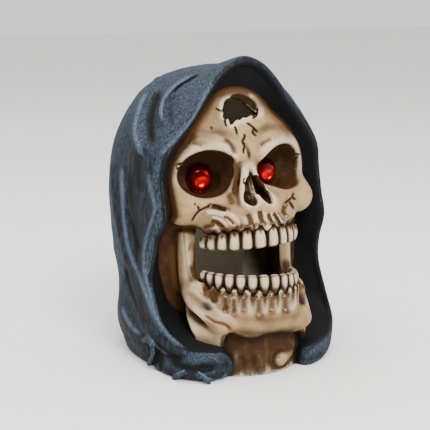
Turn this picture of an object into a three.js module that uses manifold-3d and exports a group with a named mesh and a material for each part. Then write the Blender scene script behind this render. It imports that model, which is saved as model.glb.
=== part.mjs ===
// Hooded skull ornament: one hollow cast shell, hood and skull together, and two set eye gems.
// Millimetres, +Z up. The face looks to -Y and the ornament stands on z = 0, open underneath.
import * as THREE from 'three';
import { LoftGeometry } from 'three/addons/geometries/LoftGeometry.js';
import { mergeVertices } from 'three/addons/utils/BufferGeometryUtils.js';
import Module from 'manifold-3d';

const wasm = await Module();
wasm.setup();

// The sizes below put y = 0 at the middle of the hood's plan. This puts the middle of the
// whole outline on the origin.
const FRAME_SHIFT_Y = -3.5;

// Hood: plan at each height as [height, centre x, centre y, half width, half depth].
const HOOD_PLAN = [
  [0, 0, 0, 56, 56],
  [14, 0, 0, 60, 63],
  [44, 0, 0, 58.5, 61],
  [74, 0, 0, 62, 68],
  [105, 0, 0, 63, 70],
  [135, 0, 5, 56.5, 58],
  [150, 1.5, 9, 48.5, 48.5],
  [161, 3, 12, 39, 39],
  [168, 4, 14, 27, 27],
  [172, 5, 16, 14, 14],
  [173.5, 5, 17, 4, 4],
];
const HOOD_SQUARENESS = 2.4;
const HOOD_CENTRE = new THREE.Vector3(0, 12, 92);
const HOOD_DEPTH_BELOW_GROUND = 20;
const HOOD_COLUMNS = 53;
const HOOD_ROWS = 16;
// The rows crowd a little towards the rim, and the last one closes at this share of the way back.
const HOOD_ROW_POWER = 1.15;
const HOOD_LAST_ROW = 0.985;
// Angle behind the rim, in radians, over which its flare and the folds fade.
const RIM_FLARE_ANGLE = 0.2;
const RIM_FLARE_POWER = 1.5;
const FOLD_FADE_ANGLE = 0.15;
const RAY_LIMIT = 150;
const RAY_HALVINGS = 26;

// The ridge of the hood's rim, from the peak down the left side (+X), under the chin and
// up the right side (-X) again.
const RIM_RIDGE = [
  [3, -25, 180.8], [17, -23, 176.5], [26, -24, 167.5], [34, -25.5, 156], [43.5, -27.5, 143.5],
  [53.5, -28.5, 127], [56, -27.5, 113], [57, -29, 98], [58.5, -31, 83], [57.5, -27.5, 67],
  [58.5, -26, 53], [61, -31, 33], [61.5, -38, 16], [51, -49, 9], [38, -56, 6], [25, -58, -3],
  [12, -52, -12], [-10, -52, -14],
  [-21, -55, 0], [-29, -56, 12.5], [-39, -51, 13.5], [-48, -43, 14.5], [-56, -33, 24],
  [-60.5, -29.5, 41], [-61, -25.5, 56], [-58.5, -29, 74], [-57.5, -38, 93], [-57.5, -36, 105],
  [-57, -33, 118], [-53.5, -34, 130.5], [-41, -34, 145.5], [-28, -31, 160], [-10, -25, 175.5],
];
const LIP = { width: 6, setBack: 4, turn: 1.6 };
// The lining runs back from the lip to this upright oval at y = back, and a shallow dish closes it.
const RECESS = { back: -9, middleZ: 82, halfWidth: 45, halfHeight: 74 };
const RECESS_DISH = [{ scale: 0.1, depth: 1 }, { scale: 0.7, depth: 2 }];
const LINING_SHARES = [0.4, 0.75];

// Folds of the hood as a line through points, with the height and half width of the ridge.
// A negative height is a groove.
const FOLDS = [
  {
    height: 3.2,
    width: 5,
    line: [[-24, 24, 168], [-42, 15, 157], [-52, 4, 144], [-56, -4, 134], [-57, -18, 125]],
  },
  { height: -2, width: 6, line: [[-34, 10, 163], [-47, -1, 149], [-53, -10, 136]] },
  { height: 2.6, width: 4, line: [[-13, 8, 171], [-36, -5, 160], [-46, -13, 148], [-49, -20, 141]] },
  {
    height: 2.6,
    width: 5,
    line: [[-58, 24, 121], [-62, 17, 106], [-62, 11, 86], [-61, 4, 62], [-58, -8, 42], [-56, -28, 24]],
  },
  { height: -2.4, width: 5, line: [[-62, 3, 100], [-61, -6, 76], [-60, -12, 54], [-58, -20, 36]] },
  { height: -2, width: 6, line: [[-62, 26, 84], [-61, 18, 56], [-58, 10, 36]] },
  { height: 2.4, width: 6, line: [[-56, 40, 70], [-58, 32, 46], [-60, 12, 24], [-58, -12, 12]] },
  { height: -2.4, width: 4, line: [[-61, 2, 24], [-59, -14, 18], [-57, -24, 8]] },
  { height: 3, width: 6, line: [[26, 22, 168], [44, 12, 156], [55, 0, 140], [58, -14, 124]] },
  { height: -2, width: 6, line: [[36, 8, 161], [51, -6, 146], [57, -16, 132]] },
  { height: 2.6, width: 6, line: [[60, 24, 120], [63, 12, 92], [61, 0, 60], [58, -18, 30]] },
  { height: -2.2, width: 6, line: [[62, 2, 100], [60, -8, 66], [58, -18, 44]] },
  { height: 2.4, width: 6, line: [[54, 44, 84], [58, 30, 48], [60, 4, 20]] },
  { height: 2.4, width: 8, line: [[-30, 52, 150], [-34, 60, 100], [-34, 54, 40], [-30, 52, 8]] },
  { height: 2.2, width: 8, line: [[10, 52, 158], [6, 66, 104], [2, 60, 44], [4, 54, 8]] },
  { height: 2.4, width: 8, line: [[36, 44, 146], [38, 56, 96], [36, 52, 40], [34, 50, 8]] },
];
const FOLD_SAMPLES = 24;

// Gathered cloth that lies on the ground at the hem's front corners, as rolls [x, y, z, radius].
const HEM_ROLLS = [
  [[51, -40, 4, 5.5], [39, -51.5, 4, 5.5], [27, -56.5, 4, 6]],
  [[-51, -29, 4, 5.5], [-45.5, -45, 6, 6.5], [-36, -52, 6.5, 6.5], [-27, -51, 6, 5.5]],
];

// Skull: the head is wrapped round a body of blended forms. Side forms are given for +X and
// both sides have them.
const HEAD_CENTRE = new THREE.Vector3(0, 36, 109);
const HEAD_COLUMNS = 44;
const HEAD_ROWS = 25;
const HEAD_FRONT_DENSITY = 1.7;
const HEAD_BLEND = 7;
// The head's skin is looked for from this far out, in steps, and then to this fineness.
const HEAD_RAY = { limit: 110, step: 1.5, fineness: 0.02 };
const HEAD_FORMS = [
  { ball: [0, 8, 121], radii: [46, 38.5, 50] },
  { ball: [0, 30, 118], radii: [42, 30, 40] },
  { ball: [0, -4, 106], radii: [43, 30, 34] },
  { rod: [[4, -26.5, 126], [15, -27.5, 129.5]], radii: [8, 8.5] },
  { rod: [[15, -27.5, 129.5], [28, -23, 129.5]], radii: [8.5, 8.5] },
  { rod: [[28, -23, 129.5], [37, -17.5, 122]], radii: [8.5, 8] },
  { rod: [[37, -17.5, 122], [38, -20, 104]], radii: [8, 7.5] },
  { ball: [35, -24, 98], radii: [12, 14, 14] },
  { rod: [[36, -27, 97], [23, -32, 96]], radii: [8, 7.5] },
  { rod: [[23, -32, 96], [11, -31, 111]], radii: [7, 5.5] },
  { rod: [[0, -25, 122], [0, -31, 114]], radii: [6, 6.5] },
  { rod: [[5, -28, 117], [10, -34, 99]], radii: [6, 5.5] },
  { ball: [0, -29, 89], radii: [32, 25.5, 16] },
  { rod: [[0, -33, 101], [0, -45, 87]], radii: [6, 8] },
  { rod: [[33, -24, 93], [27, -31, 84]], radii: [9, 7] },
];

const SOCKET = { centre: [25.7, -31, 115.3], radii: [17.4, 18.8, 14.2], droop: 0.17 };
const NOSTRIL = { centre: [5.3, -39, 100], radii: [4, 9, 5] };
const NOSE_SLOT = { centre: [3.8, -39, 108], radii: [2.6, 9, 9], lean: 0.16 };

// Teeth: widths from the middle outward, on an arch that is half an ellipse.
const UPPER_TEETH = {
  widths: [8.6, 7.4, 7.2, 6.8, 6.2, 5.6], archY: -31, archX: 30.5, archDepth: 23.2,
  tipZ: 74.4, endRise: -1.6, height: 13.5, flare: 2.6, thickness: 5.4, tipWidth: 0.94, fullWidth: 1,
  gumWidth: 0.74, roll: 0,
};
const LOWER_TEETH = {
  widths: [7.2, 6.8, 6.5, 6.2, 5.8, 5.4, 5], archY: -31, archX: 30.8, archDepth: 26.2,
  tipZ: 58.8, endRise: 0, height: -12, flare: 0.4, thickness: 5.2, tipWidth: 0.98, fullWidth: 1,
  gumWidth: 0.7, roll: 0.1,
};
const TOOTH_SIDES = 6;
// Rings of a tooth from its biting edge to its root, as [share of the height, width, thickness].
const TOOTH_RINGS = [[0, 'tipWidth', 0.6], [0.35, 'fullWidth', 1], [1, 'gumWidth', 0.9]];
const TOOTH_GAP_SHARE = 0.97;
const TOOTH_SWELL = 1.1;

// Lower jaw: stations from the chin (0) to the hinge as
// [angle, low x, low y, low z, bulge, top x, top y, top z], bulge being outward at half height.
const JAW_STATIONS = [
  [0, 0, -62.5, 25.5, -2, 0, -59.5, 50.5],
  [16, 13, -61.5, 22, -1, 10, -58, 50.5],
  [30, 24, -56.5, 25.5, 1, 19, -54.5, 50.5],
  [40, 28, -53.5, 21, 2, 25, -50, 50.5],
  [44, 31, -50.5, 10, 3, 28.5, -46.5, 50.5],
  [56, 37.5, -42.5, 12, 3.5, 33.5, -40, 50.5],
  [68, 40.5, -34, 27, 2, 36, -33, 52.5],
  [80, 40, -25.5, 43, 0.5, 37.5, -24.5, 81],
  [90, 38.5, -9, 70, 0, 38, -8, 89],
];
const JAW_COLUMNS = 34;
const JAW_WALL = 7.5;
const JAW_ROLL = 0.1;
// Points of an upright section, [share of the height, inset, share of the bulge], up the outside
// and then [share of the height, change of the wall] down the inside. Its normal points away from y.
const JAW_OUTSIDE = [[0, 1.5, 0], [0.12, 0, 0.4], [0.5, 0, 1], [0.85, 0, 0.4], [1, 1, 0]];
const JAW_INSIDE = [[1, -1], [0.5, 0], [0, -2]];
const JAW_MIDDLE_Y = -25;
const RAMUS_COLUMN = { foot: [33.8, -21, 42], head: [31.5, -17.5, 86], radius: 5.8 };
const CHIN_LOBE = { centre: [11, -58.6, 27], radii: [9, 5, 7] };

const NECK = { y: -22, baseRadius: 39.5, topRadius: 31, topZ: 36, foldShare: 0.35, sides: 26 };
const NECK_KNOB = { centre: [13.5, -57, 10], radii: [6.5, 5, 5.5] };
const NECK_RIBS = { x: [-17, -9.5], radius: 3.4, lowZ: 3, highZ: 18, sunk: 2.5 };

// Hollow: plan at each height as [height, front y, back y, half width].
const HOLLOW_PLAN = [
  [-6, 1, 47, 47],
  [20, 1, 54, 50],
  [60, 1, 57, 52],
  [100, 1, 61, 54],
  [120, -1, 58, 51],
  [134, -10, 53, 45],
  [146, -13, 49, 39],
  [156, -8, 43, 30],
  [165, 4, 33, 17],
];
const HOLLOW_SQUARENESS = 2.15;
const HOLLOW_COLUMNS = 22;
// Upright shafts in front of the hollow as [height, half width, half depth] about y.
const THROAT = { y: -20, rings: [[-6, 31, 32], [22, 29, 28.5], [52, 28, 29]] };
const MOUTH = { y: -20, rings: [[50, 29, 31], [79, 29, 31]] };

// The broken hole in the forehead, as an outline seen from the front [x, z].
const FOREHEAD_HOLE = [
  [-10, 152.5], [-7.4, 157], [-1, 157.5], [7, 156.5], [12.5, 153], [13.5, 149], [11.8, 146.4],
  [2.8, 144.4], [-2, 143.1], [-5.7, 141.9], [-7, 144.4], [-10.4, 146.1], [-11, 149],
];
const FOREHEAD_HOLE_SPAN = { front: -44, back: 2 };

// Eye gem: a round stone with a flat front, in a shallow seat in the eye socket.
const GEM = { x: 22.2, y: -12.6, z: 110, turn: 0.157, radius: 8, backRadius: 6.4, tableRadius: 4.6 };
const GEM_HEIGHTS = { girdleLow: 3.2, girdleHigh: 3.9, table: 7 };
const GEM_FACETS = 12;
const GEM_SEAT = { depth: 13, sides: 20 };
const FIT_GAP = 0.3;

// Everything below the ground is cut off by a block of this side and depth.
const UNDERSIDE = { side: 400, depth: 100 };

// Turns a closed geometry into a solid that can be joined and cut.
function solid(geometry) {
  const bare = new THREE.BufferGeometry();
  bare.setAttribute('position', geometry.attributes.position);
  bare.setIndex(geometry.index);
  const merged = mergeVertices(bare, 1e-4);
  const corners = merged.index.array;
  const faces = [];
  for (let i = 0; i < corners.length; i += 3) {
    const face = [corners[i], corners[i + 1], corners[i + 2]];
    if (new Set(face).size === 3) faces.push(...face);
  }
  const mesh = new wasm.Mesh({
    numProp: 3,
    vertProperties: new Float32Array(merged.attributes.position.array),
    triVerts: new Uint32Array(faces),
  });
  return new wasm.Manifold(mesh);
}

// Turns a solid back into a flat-shaded mesh.
function meshFrom(body, name, material) {
  const source = body.getMesh();
  const geometry = new THREE.BufferGeometry();
  geometry.setAttribute('position', new THREE.BufferAttribute(source.vertProperties.slice(), 3));
  geometry.setIndex(new THREE.BufferAttribute(source.triVerts.slice(), 1));
  geometry.computeVertexNormals();
  const mesh = new THREE.Mesh(geometry, material);
  mesh.name = name;
  mesh.position.y = FRAME_SHIFT_Y;
  return mesh;
}

function joined(bodies) {
  return bodies.reduce((whole, body) => whole.add(body));
}

// Reads a table whose rows start with the place, with smooth change between its rows.
function readTable(table, place) {
  const last = table.length - 1;
  const at = Math.min(Math.max(place, table[0][0]), table[last][0]);
  let row = 0;
  while (row < last - 1 && table[row + 1][0] < at) row += 1;
  const [low, high] = [table[row], table[row + 1]];
  const before = table[Math.max(row - 1, 0)];
  const after = table[Math.min(row + 2, last)];
  const span = high[0] - low[0];
  const t = (at - low[0]) / span;
  return low.slice(1).map((value, i) => {
    const next = high[i + 1];
    const slopeLow = span * (next - before[i + 1]) / (high[0] - before[0]);
    const slopeHigh = span * (after[i + 1] - value) / (after[0] - low[0]);
    const t2 = t * t;
    const t3 = t2 * t;
    return value * (2 * t3 - 3 * t2 + 1) + slopeLow * (t3 - 2 * t2 + t)
      + next * (3 * t2 - 2 * t3) + slopeHigh * (t3 - t2);
  });
}

// A closed outline between an ellipse and a rectangle, counterclockwise from above.
function squareOval(centreX, centreY, halfX, halfY, squareness, count, z) {
  const points = [];
  for (let i = 0; i < count; i += 1) {
    const angle = (i / count) * Math.PI * 2;
    const [c, s] = [Math.cos(angle), Math.sin(angle)];
    const reach = (Math.abs(c) ** squareness + Math.abs(s) ** squareness) ** (-1 / squareness);
    points.push(new THREE.Vector3(centreX + halfX * c * reach, centreY + halfY * s * reach, z));
  }
  return points;
}

function ball(centre, radii, columns, rows) {
  const geometry = new THREE.SphereGeometry(1, columns, rows);
  geometry.scale(...radii);
  geometry.translate(...centre);
  return solid(geometry);
}

// A round-ended rod between two points of equal radius.
function rod(from, to, radius) {
  const geometry = new THREE.CapsuleGeometry(radius, from.distanceTo(to), 2, 8);
  const along = to.clone().sub(from).normalize();
  geometry.applyQuaternion(new THREE.Quaternion().setFromUnitVectors(new THREE.Vector3(0, 1, 0), along));
  const middle = from.clone().lerp(to, 0.5);
  geometry.translate(middle.x, middle.y, middle.z);
  return solid(geometry);
}

// Measures a point against the plain hood: negative inside it.
function hoodMeasure(point) {
  const [x, y, a, b] = readTable(HOOD_PLAN, Math.max(point.z, 0));
  const across = (Math.abs(point.x - x) / a) ** HOOD_SQUARENESS;
  const along = (Math.abs(point.y - y) / b) ** HOOD_SQUARENESS;
  const top = HOOD_PLAN[HOOD_PLAN.length - 1][0];
  return Math.max(across + along - 1, point.z - top, -point.z - HOOD_DEPTH_BELOW_GROUND);
}

// Finds how far the plain hood goes from its centre in a direction.
function hoodReach(direction) {
  let [near, far] = [0, RAY_LIMIT];
  for (let step = 0; step < RAY_HALVINGS; step += 1) {
    const middle = (near + far) / 2;
    const inside = hoodMeasure(HOOD_CENTRE.clone().addScaledVector(direction, middle)) < 0;
    if (inside) near = middle;
    else far = middle;
  }
  return near;
}

const foldLines = FOLDS.map(({ line, ...fold }) => {
  const curve = new THREE.CatmullRomCurve3(line.map((point) => new THREE.Vector3(...point)));
  return { ...fold, points: curve.getPoints(FOLD_SAMPLES) };
});

// How far the folds lift the cloth at a point of the plain hood.
function foldLift(point) {
  return foldLines.reduce((lift, { height, width, points }) => {
    const distance = Math.min(...points.map((p) => p.distanceTo(point)));
    return lift + height * Math.exp(-((distance / width) ** 2));
  }, 0);
}

// The hood's rim as places in order round the face, each with its direction from the hood's
// centre as seen from the front, its distance and its angle from the front.
function rimPlaces() {
  const line = RIM_RIDGE.map((point) => new THREE.Vector3(...point));
  const ridge = new THREE.CatmullRomCurve3(line, true, 'centripetal');
  return ridge.getSpacedPoints(HOOD_COLUMNS).slice(0, HOOD_COLUMNS).map((point) => {
    const side = new THREE.Vector3(point.x, 0, point.z - HOOD_CENTRE.z).normalize();
    const offset = point.clone().sub(HOOD_CENTRE);
    return { point, side, reach: offset.length(), angle: Math.atan2(offset.dot(side), -offset.y) };
  });
}

// Rings of the lining, from the back of the recess forward to the rim's ridge.
function liningRings(rim) {
  const innerLip = rim.map(({ point, side }) => (
    point.clone().addScaledVector(side, -LIP.width).setY(point.y + LIP.setBack)
  ));
  const frontLip = rim.map(({ point, side }) => (
    point.clone().addScaledVector(side, -LIP.width / 2).setY(point.y - LIP.turn)
  ));
  const oval = (scale, depth) => rim.map(({ side }) => new THREE.Vector3(
    RECESS.halfWidth * side.x * scale,
    RECESS.back + depth,
    RECESS.middleZ + RECESS.halfHeight * side.z * scale,
  ));
  const backOval = oval(1, 0);
  return [
    ...RECESS_DISH.map(({ scale, depth }) => oval(scale, depth)),
    backOval,
    ...LINING_SHARES.map((share) => backOval.map((p, i) => p.clone().lerp(innerLip[i], share))),
    innerLip,
    frontLip,
    rim.map(({ point }) => point),
  ];
}

// A direction at an angle from the front towards one side.
function rayAt(side, turn) {
  return new THREE.Vector3(0, -Math.cos(turn), 0).addScaledVector(side, Math.sin(turn));
}

// Hood: rings round the y axis, along the lining, over the lip and back along the outside.
function buildHood() {
  const rim = rimPlaces();
  const sections = liningRings(rim);
  for (let row = 1; row <= HOOD_ROWS; row += 1) {
    const along = (row / HOOD_ROWS) ** HOOD_ROW_POWER * HOOD_LAST_ROW;
    sections.push(rim.map(({ side, reach, angle }) => {
      const past = (Math.PI - angle) * along;
      const direction = rayAt(side, angle + past);
      const fade = Math.exp(-((past / RIM_FLARE_ANGLE) ** RIM_FLARE_POWER));
      const flare = (reach - hoodReach(rayAt(side, angle))) * fade;
      const surface = HOOD_CENTRE.clone().addScaledVector(direction, hoodReach(direction));
      const cloth = foldLift(surface) * Math.min(1, past / FOLD_FADE_ANGLE);
      return surface.addScaledVector(direction, flare + cloth);
    }));
  }
  const rolls = HEM_ROLLS.flatMap((line) => line.slice(1).map(([x, y, z, radius], i) => {
    const [fromX, fromY, fromZ] = line[i];
    return rod(new THREE.Vector3(fromX, fromY, fromZ), new THREE.Vector3(x, y, z), radius);
  }));
  return joined([solid(new LoftGeometry(sections, { capStart: true, capEnd: true })), ...rolls]);
}

function ballMeasure(point, centre, radii) {
  const q = new THREE.Vector3(...centre).sub(point).divide(new THREE.Vector3(...radii));
  return (q.length() - 1) * Math.min(...radii);
}

function rodMeasure(point, ends, radii) {
  const [a, b] = ends.map((end) => new THREE.Vector3(...end));
  const t = new THREE.Line3(a, b).closestPointToPointParameter(point, true);
  return point.distanceTo(a.lerp(b, t)) - THREE.MathUtils.lerp(radii[0], radii[1], t);
}

function headMeasure(point) {
  const folded = new THREE.Vector3(Math.abs(point.x), point.y, point.z);
  return HEAD_FORMS.reduce((nearest, form) => {
    const distance = form.ball
      ? ballMeasure(folded, form.ball, form.radii)
      : rodMeasure(folded, form.rod, form.radii);
    const mix = THREE.MathUtils.clamp(0.5 + (distance - nearest) / (2 * HEAD_BLEND), 0, 1);
    return distance + (nearest - distance) * mix - HEAD_BLEND * mix * (1 - mix);
  }, 1000);
}

// Finds the outermost place on a ray that lies inside the head.
function headReach(direction) {
  const isOut = (reach) => headMeasure(HEAD_CENTRE.clone().addScaledVector(direction, reach)) > 0;
  let reach = HEAD_RAY.limit;
  while (reach > HEAD_RAY.step && isOut(reach)) reach -= HEAD_RAY.step;
  for (let part = HEAD_RAY.step / 2; part > HEAD_RAY.fineness; part /= 2) {
    if (!isOut(reach + part)) reach += part;
  }
  return reach;
}

// Head: a ball with its pole to the front, each point moved out along its ray to the skin.
function buildHead() {
  const geometry = new THREE.SphereGeometry(1, HEAD_COLUMNS, HEAD_ROWS);
  const places = geometry.attributes.position;
  for (let i = 0; i < places.count; i += 1) {
    const point = new THREE.Vector3().fromBufferAttribute(places, i);
    const share = Math.acos(THREE.MathUtils.clamp(-point.y, -1, 1)) / Math.PI;
    const turn = Math.PI * share ** HEAD_FRONT_DENSITY;
    const side = new THREE.Vector3(point.x, 0, point.z).normalize();
    const direction = new THREE.Vector3(0, -Math.cos(turn), 0).addScaledVector(side, Math.sin(turn));
    const skin = HEAD_CENTRE.clone().addScaledVector(direction, headReach(direction));
    places.setXYZ(i, skin.x, skin.y, skin.z);
  }
  return solid(geometry);
}

// One upright section of the lower jaw, at an angle from the chin.
function jawSection(angle) {
  const side = Math.sign(angle);
  const [lowX, lowY, lowZ, bulge, topX, topY, topZ] = readTable(JAW_STATIONS, Math.abs(angle));
  const low = new THREE.Vector3(lowX * side, lowY, lowZ);
  const top = new THREE.Vector3(topX * side, topY, topZ);
  const outward = new THREE.Vector3(low.x, low.y - JAW_MIDDLE_Y, 0).normalize();
  const section = [
    ...JAW_OUTSIDE.map(([share, inset, swell]) => (
      low.clone().lerp(top, share).addScaledVector(outward, bulge * swell - inset)
    )),
    ...JAW_INSIDE.map(([share, change]) => (
      low.clone().lerp(top, share).addScaledVector(outward, -JAW_WALL - change)
    )),
  ];
  section.forEach((point) => {
    point.z -= JAW_ROLL * point.x;
  });
  return section.reverse();
}

// Lower jaw: the arch from one hinge to the other, the lobes of the chin and the upright columns.
function buildJaw() {
  const end = JAW_STATIONS[JAW_STATIONS.length - 1][0];
  const sections = [];
  for (let i = 0; i <= JAW_COLUMNS; i += 1) sections.push(jawSection(-end + (2 * end * i) / JAW_COLUMNS));
  const arch = solid(new LoftGeometry(sections, { capStart: true, capEnd: true }));
  const sides = [-1, 1].flatMap((side) => {
    const [foot, head, centre] = [RAMUS_COLUMN.foot, RAMUS_COLUMN.head, CHIN_LOBE.centre].map((place) => (
      new THREE.Vector3(place[0] * side, place[1], place[2])
    ));
    return [rod(foot, head, RAMUS_COLUMN.radius), ball(centre.toArray(), CHIN_LOBE.radii, 8, 6)];
  });
  return joined([arch, ...sides]);
}

// One tooth: a tapering peg whose middle line runs from its biting edge to its root.
function buildTooth(row, angle, width) {
  const [s, c] = [Math.sin(angle), Math.cos(angle)];
  const outward = new THREE.Vector3(s / row.archX, -c / row.archDepth, 0).normalize();
  const across = new THREE.Vector3(-outward.y, outward.x, 0);
  const sideways = Math.abs(angle) / (Math.PI / 2);
  const sections = TOOTH_RINGS.map(([rise, wide, deep]) => {
    const middle = new THREE.Vector3(row.archX * s, row.archY - row.archDepth * c, 0);
    middle.z = row.tipZ + row.endRise * sideways + row.height * rise;
    middle.addScaledVector(outward, -row.flare * rise * c);
    middle.z -= row.roll * middle.x;
    const halfThickness = (row.thickness * deep * TOOTH_SWELL) / 2;
    const halfWidth = (width * row[wide] * TOOTH_GAP_SHARE) / 2;
    return Array.from({ length: TOOTH_SIDES }, (_, i) => {
      const turn = (i / TOOTH_SIDES) * Math.PI * 2;
      const point = middle.clone().addScaledVector(outward, Math.cos(turn) * halfThickness);
      return point.addScaledVector(across, Math.sin(turn) * halfWidth);
    });
  });
  if (row.height < 0) sections.reverse();
  return solid(new LoftGeometry(sections, { capStart: true, capEnd: true }));
}

function buildTeeth(row) {
  const teeth = [];
  const speed = (angle) => Math.hypot(row.archX * Math.cos(angle), row.archDepth * Math.sin(angle));
  let edge = 0;
  for (const width of row.widths) {
    const middle = edge + width / 2 / speed(edge);
    edge = middle + width / 2 / speed(middle);
    teeth.push(buildTooth(row, middle, width), buildTooth(row, -middle, width));
  }
  return joined(teeth);
}

function buildNeck() {
  const rings = [0, NECK.foldShare, 1].map((share) => {
    const radius = THREE.MathUtils.lerp(NECK.baseRadius, NECK.topRadius, share);
    return squareOval(0, NECK.y, radius, radius, 2, NECK.sides, NECK.topZ * share);
  });
  const ribs = NECK_RIBS.x.map((x) => {
    const y = NECK.y - Math.sqrt((NECK.baseRadius - NECK_RIBS.sunk) ** 2 - x * x);
    const [low, high] = [NECK_RIBS.lowZ, NECK_RIBS.highZ].map((z) => new THREE.Vector3(x, y, z));
    return rod(low, high, NECK_RIBS.radius);
  });
  const knob = ball(NECK_KNOB.centre, NECK_KNOB.radii, 10, 8);
  return joined([solid(new LoftGeometry(rings, { capStart: true, capEnd: true })), knob, ...ribs]);
}

function buildHollow() {
  const sections = HOLLOW_PLAN.map(([z, front, back, half]) => (
    squareOval(0, (front + back) / 2, half, (back - front) / 2, HOLLOW_SQUARENESS, HOLLOW_COLUMNS, z)
  ));
  const shafts = [THROAT, MOUTH].map(({ y, rings }) => {
    const outlines = rings.map(([z, halfWidth, halfDepth]) => (
      squareOval(0, y, halfWidth, halfDepth, HOLLOW_SQUARENESS, HOLLOW_COLUMNS, z)
    ));
    return solid(new LoftGeometry(outlines, { capStart: true, capEnd: true }));
  });
  return joined([solid(new LoftGeometry(sections, { capStart: true, capEnd: true })), ...shafts]);
}

// Eye sockets with the seat of the gem, nostrils and the hole in the forehead.
function buildFaceCuts() {
  const cuts = [];
  for (const side of [-1, 1]) {
    const socket = new THREE.SphereGeometry(1, 16, 10);
    socket.scale(...SOCKET.radii);
    socket.rotateY(side * SOCKET.droop);
    socket.translate(SOCKET.centre[0] * side, SOCKET.centre[1], SOCKET.centre[2]);
    const nostril = new THREE.SphereGeometry(1, 10, 6);
    nostril.scale(...NOSTRIL.radii);
    nostril.translate(NOSTRIL.centre[0] * side, NOSTRIL.centre[1], NOSTRIL.centre[2]);
    const slot = new THREE.SphereGeometry(1, 10, 8);
    slot.scale(...NOSE_SLOT.radii);
    slot.rotateY(-side * NOSE_SLOT.lean);
    slot.translate(NOSE_SLOT.centre[0] * side, NOSE_SLOT.centre[1], NOSE_SLOT.centre[2]);
    cuts.push(solid(socket), solid(nostril), solid(slot), buildGemSeat(side));
  }
  const outline = new THREE.Shape(FOREHEAD_HOLE.map(([x, z]) => new THREE.Vector2(x, z)));
  const hole = new THREE.ExtrudeGeometry(outline, {
    depth: FOREHEAD_HOLE_SPAN.back - FOREHEAD_HOLE_SPAN.front,
    bevelEnabled: false,
  });
  hole.rotateX(Math.PI / 2);
  hole.translate(0, FOREHEAD_HOLE_SPAN.back, 0);
  cuts.push(solid(hole));
  return joined(cuts);
}

// Stands a shape made along +Y from the gem's flat back in its place in the face.
function placeAtEye(geometry, side) {
  geometry.rotateX(Math.PI);
  geometry.rotateZ(side * GEM.turn);
  geometry.translate(GEM.x * side, GEM.y, GEM.z);
  return geometry;
}

function buildGem(side) {
  const profile = [
    [0, 0],
    [GEM.backRadius, 0],
    [GEM.radius, GEM_HEIGHTS.girdleLow],
    [GEM.radius, GEM_HEIGHTS.girdleHigh],
    [GEM.tableRadius, GEM_HEIGHTS.table],
    [0, GEM_HEIGHTS.table],
  ];
  const lathe = new THREE.LatheGeometry(profile.map(([r, h]) => new THREE.Vector2(r, h)), GEM_FACETS);
  return solid(placeAtEye(lathe, side));
}

function buildGemSeat(side) {
  const radius = GEM.radius + 2 * FIT_GAP;
  const seat = new THREE.CylinderGeometry(radius, radius, GEM_SEAT.depth, GEM_SEAT.sides);
  seat.translate(0, GEM_SEAT.depth / 2 - FIT_GAP, 0);
  return solid(placeAtEye(seat, side));
}

function buildCasting() {
  const underside = new THREE.BoxGeometry(UNDERSIDE.side, UNDERSIDE.side, UNDERSIDE.depth);
  underside.translate(0, 0, -UNDERSIDE.depth / 2);
  const flesh = joined([buildHood(), buildHead(), buildJaw(), buildNeck()]);
  const open = flesh.subtract(joined([buildHollow(), buildFaceCuts(), solid(underside)]));
  return joined([open, buildTeeth(UPPER_TEETH), buildTeeth(LOWER_TEETH)]);
}

const resin = new THREE.MeshStandardMaterial({ color: 0x9a8a70, roughness: 0.62, metalness: 0 });
resin.name = 'painted_resin';
const group = new THREE.Group();
group.add(meshFrom(buildCasting(), 'hooded_skull', resin));
for (const [side, name] of [[-1, 'right_eye_gem'], [1, 'left_eye_gem']]) {
  const acrylic = new THREE.MeshStandardMaterial({ color: 0xb00018, roughness: 0.08, metalness: 0 });
  acrylic.name = 'red_acrylic';
  group.add(meshFrom(buildGem(side), name, acrylic));
}

export default group;
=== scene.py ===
"""Hooded skull ornament: the painted resin casting and its two red eye stones, dressed round the frame.

The casting is modelled as clay is: forms are added to and carved from a field of distances, the field is
turned into one closed skin, and the paint follows the field's own hollows, ridges and seams. Sizes are
real millimetres in the sculptor's frame, whose y = 0 is the middle of the hood's plan, with the face to -Y.
"""

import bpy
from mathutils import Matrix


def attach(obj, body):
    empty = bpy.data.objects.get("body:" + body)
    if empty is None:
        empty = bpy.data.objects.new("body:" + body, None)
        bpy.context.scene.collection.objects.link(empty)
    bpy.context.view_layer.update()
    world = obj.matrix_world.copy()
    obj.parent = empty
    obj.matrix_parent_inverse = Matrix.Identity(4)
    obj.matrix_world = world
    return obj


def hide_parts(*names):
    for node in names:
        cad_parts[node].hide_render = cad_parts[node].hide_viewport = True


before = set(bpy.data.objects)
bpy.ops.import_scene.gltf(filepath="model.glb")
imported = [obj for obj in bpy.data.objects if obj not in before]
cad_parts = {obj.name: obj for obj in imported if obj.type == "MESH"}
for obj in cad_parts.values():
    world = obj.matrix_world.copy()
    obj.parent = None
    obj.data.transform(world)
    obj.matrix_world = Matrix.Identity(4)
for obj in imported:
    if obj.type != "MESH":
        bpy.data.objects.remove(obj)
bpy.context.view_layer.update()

import logging
import math
from dataclasses import dataclass, field
from enum import Enum
from typing import Callable, Protocol, Sequence

import bpy
import numpy as np
from mathutils import Matrix, Vector

LOG = logging.getLogger("hooded_skull")
MM = 0.001
FRAME_SHIFT_Y = -3.5
FAR = 40.0
BODY = "root"
GUIDES = ("ink_and_valley_shade", "wash_and_shade", "cloth", "throat", "inner", "lining", "upper_teeth", "lower_teeth",
          "fine_hollow", "fine_ridge", "broad_hollow", "broad_ridge")

Array = np.ndarray
Triple = tuple[float, float, float]
Path = Sequence[Triple]
Pair = tuple[float, float]
Rows = Sequence[tuple[float, ...]]
Piece = bpy.types.Object
Material = bpy.types.Material
Socket = bpy.types.NodeSocket


class Slot(Enum):
    """The record's material slots."""

    RESIN = "painted_resin"
    ACRYLIC = "red_acrylic"


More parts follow.
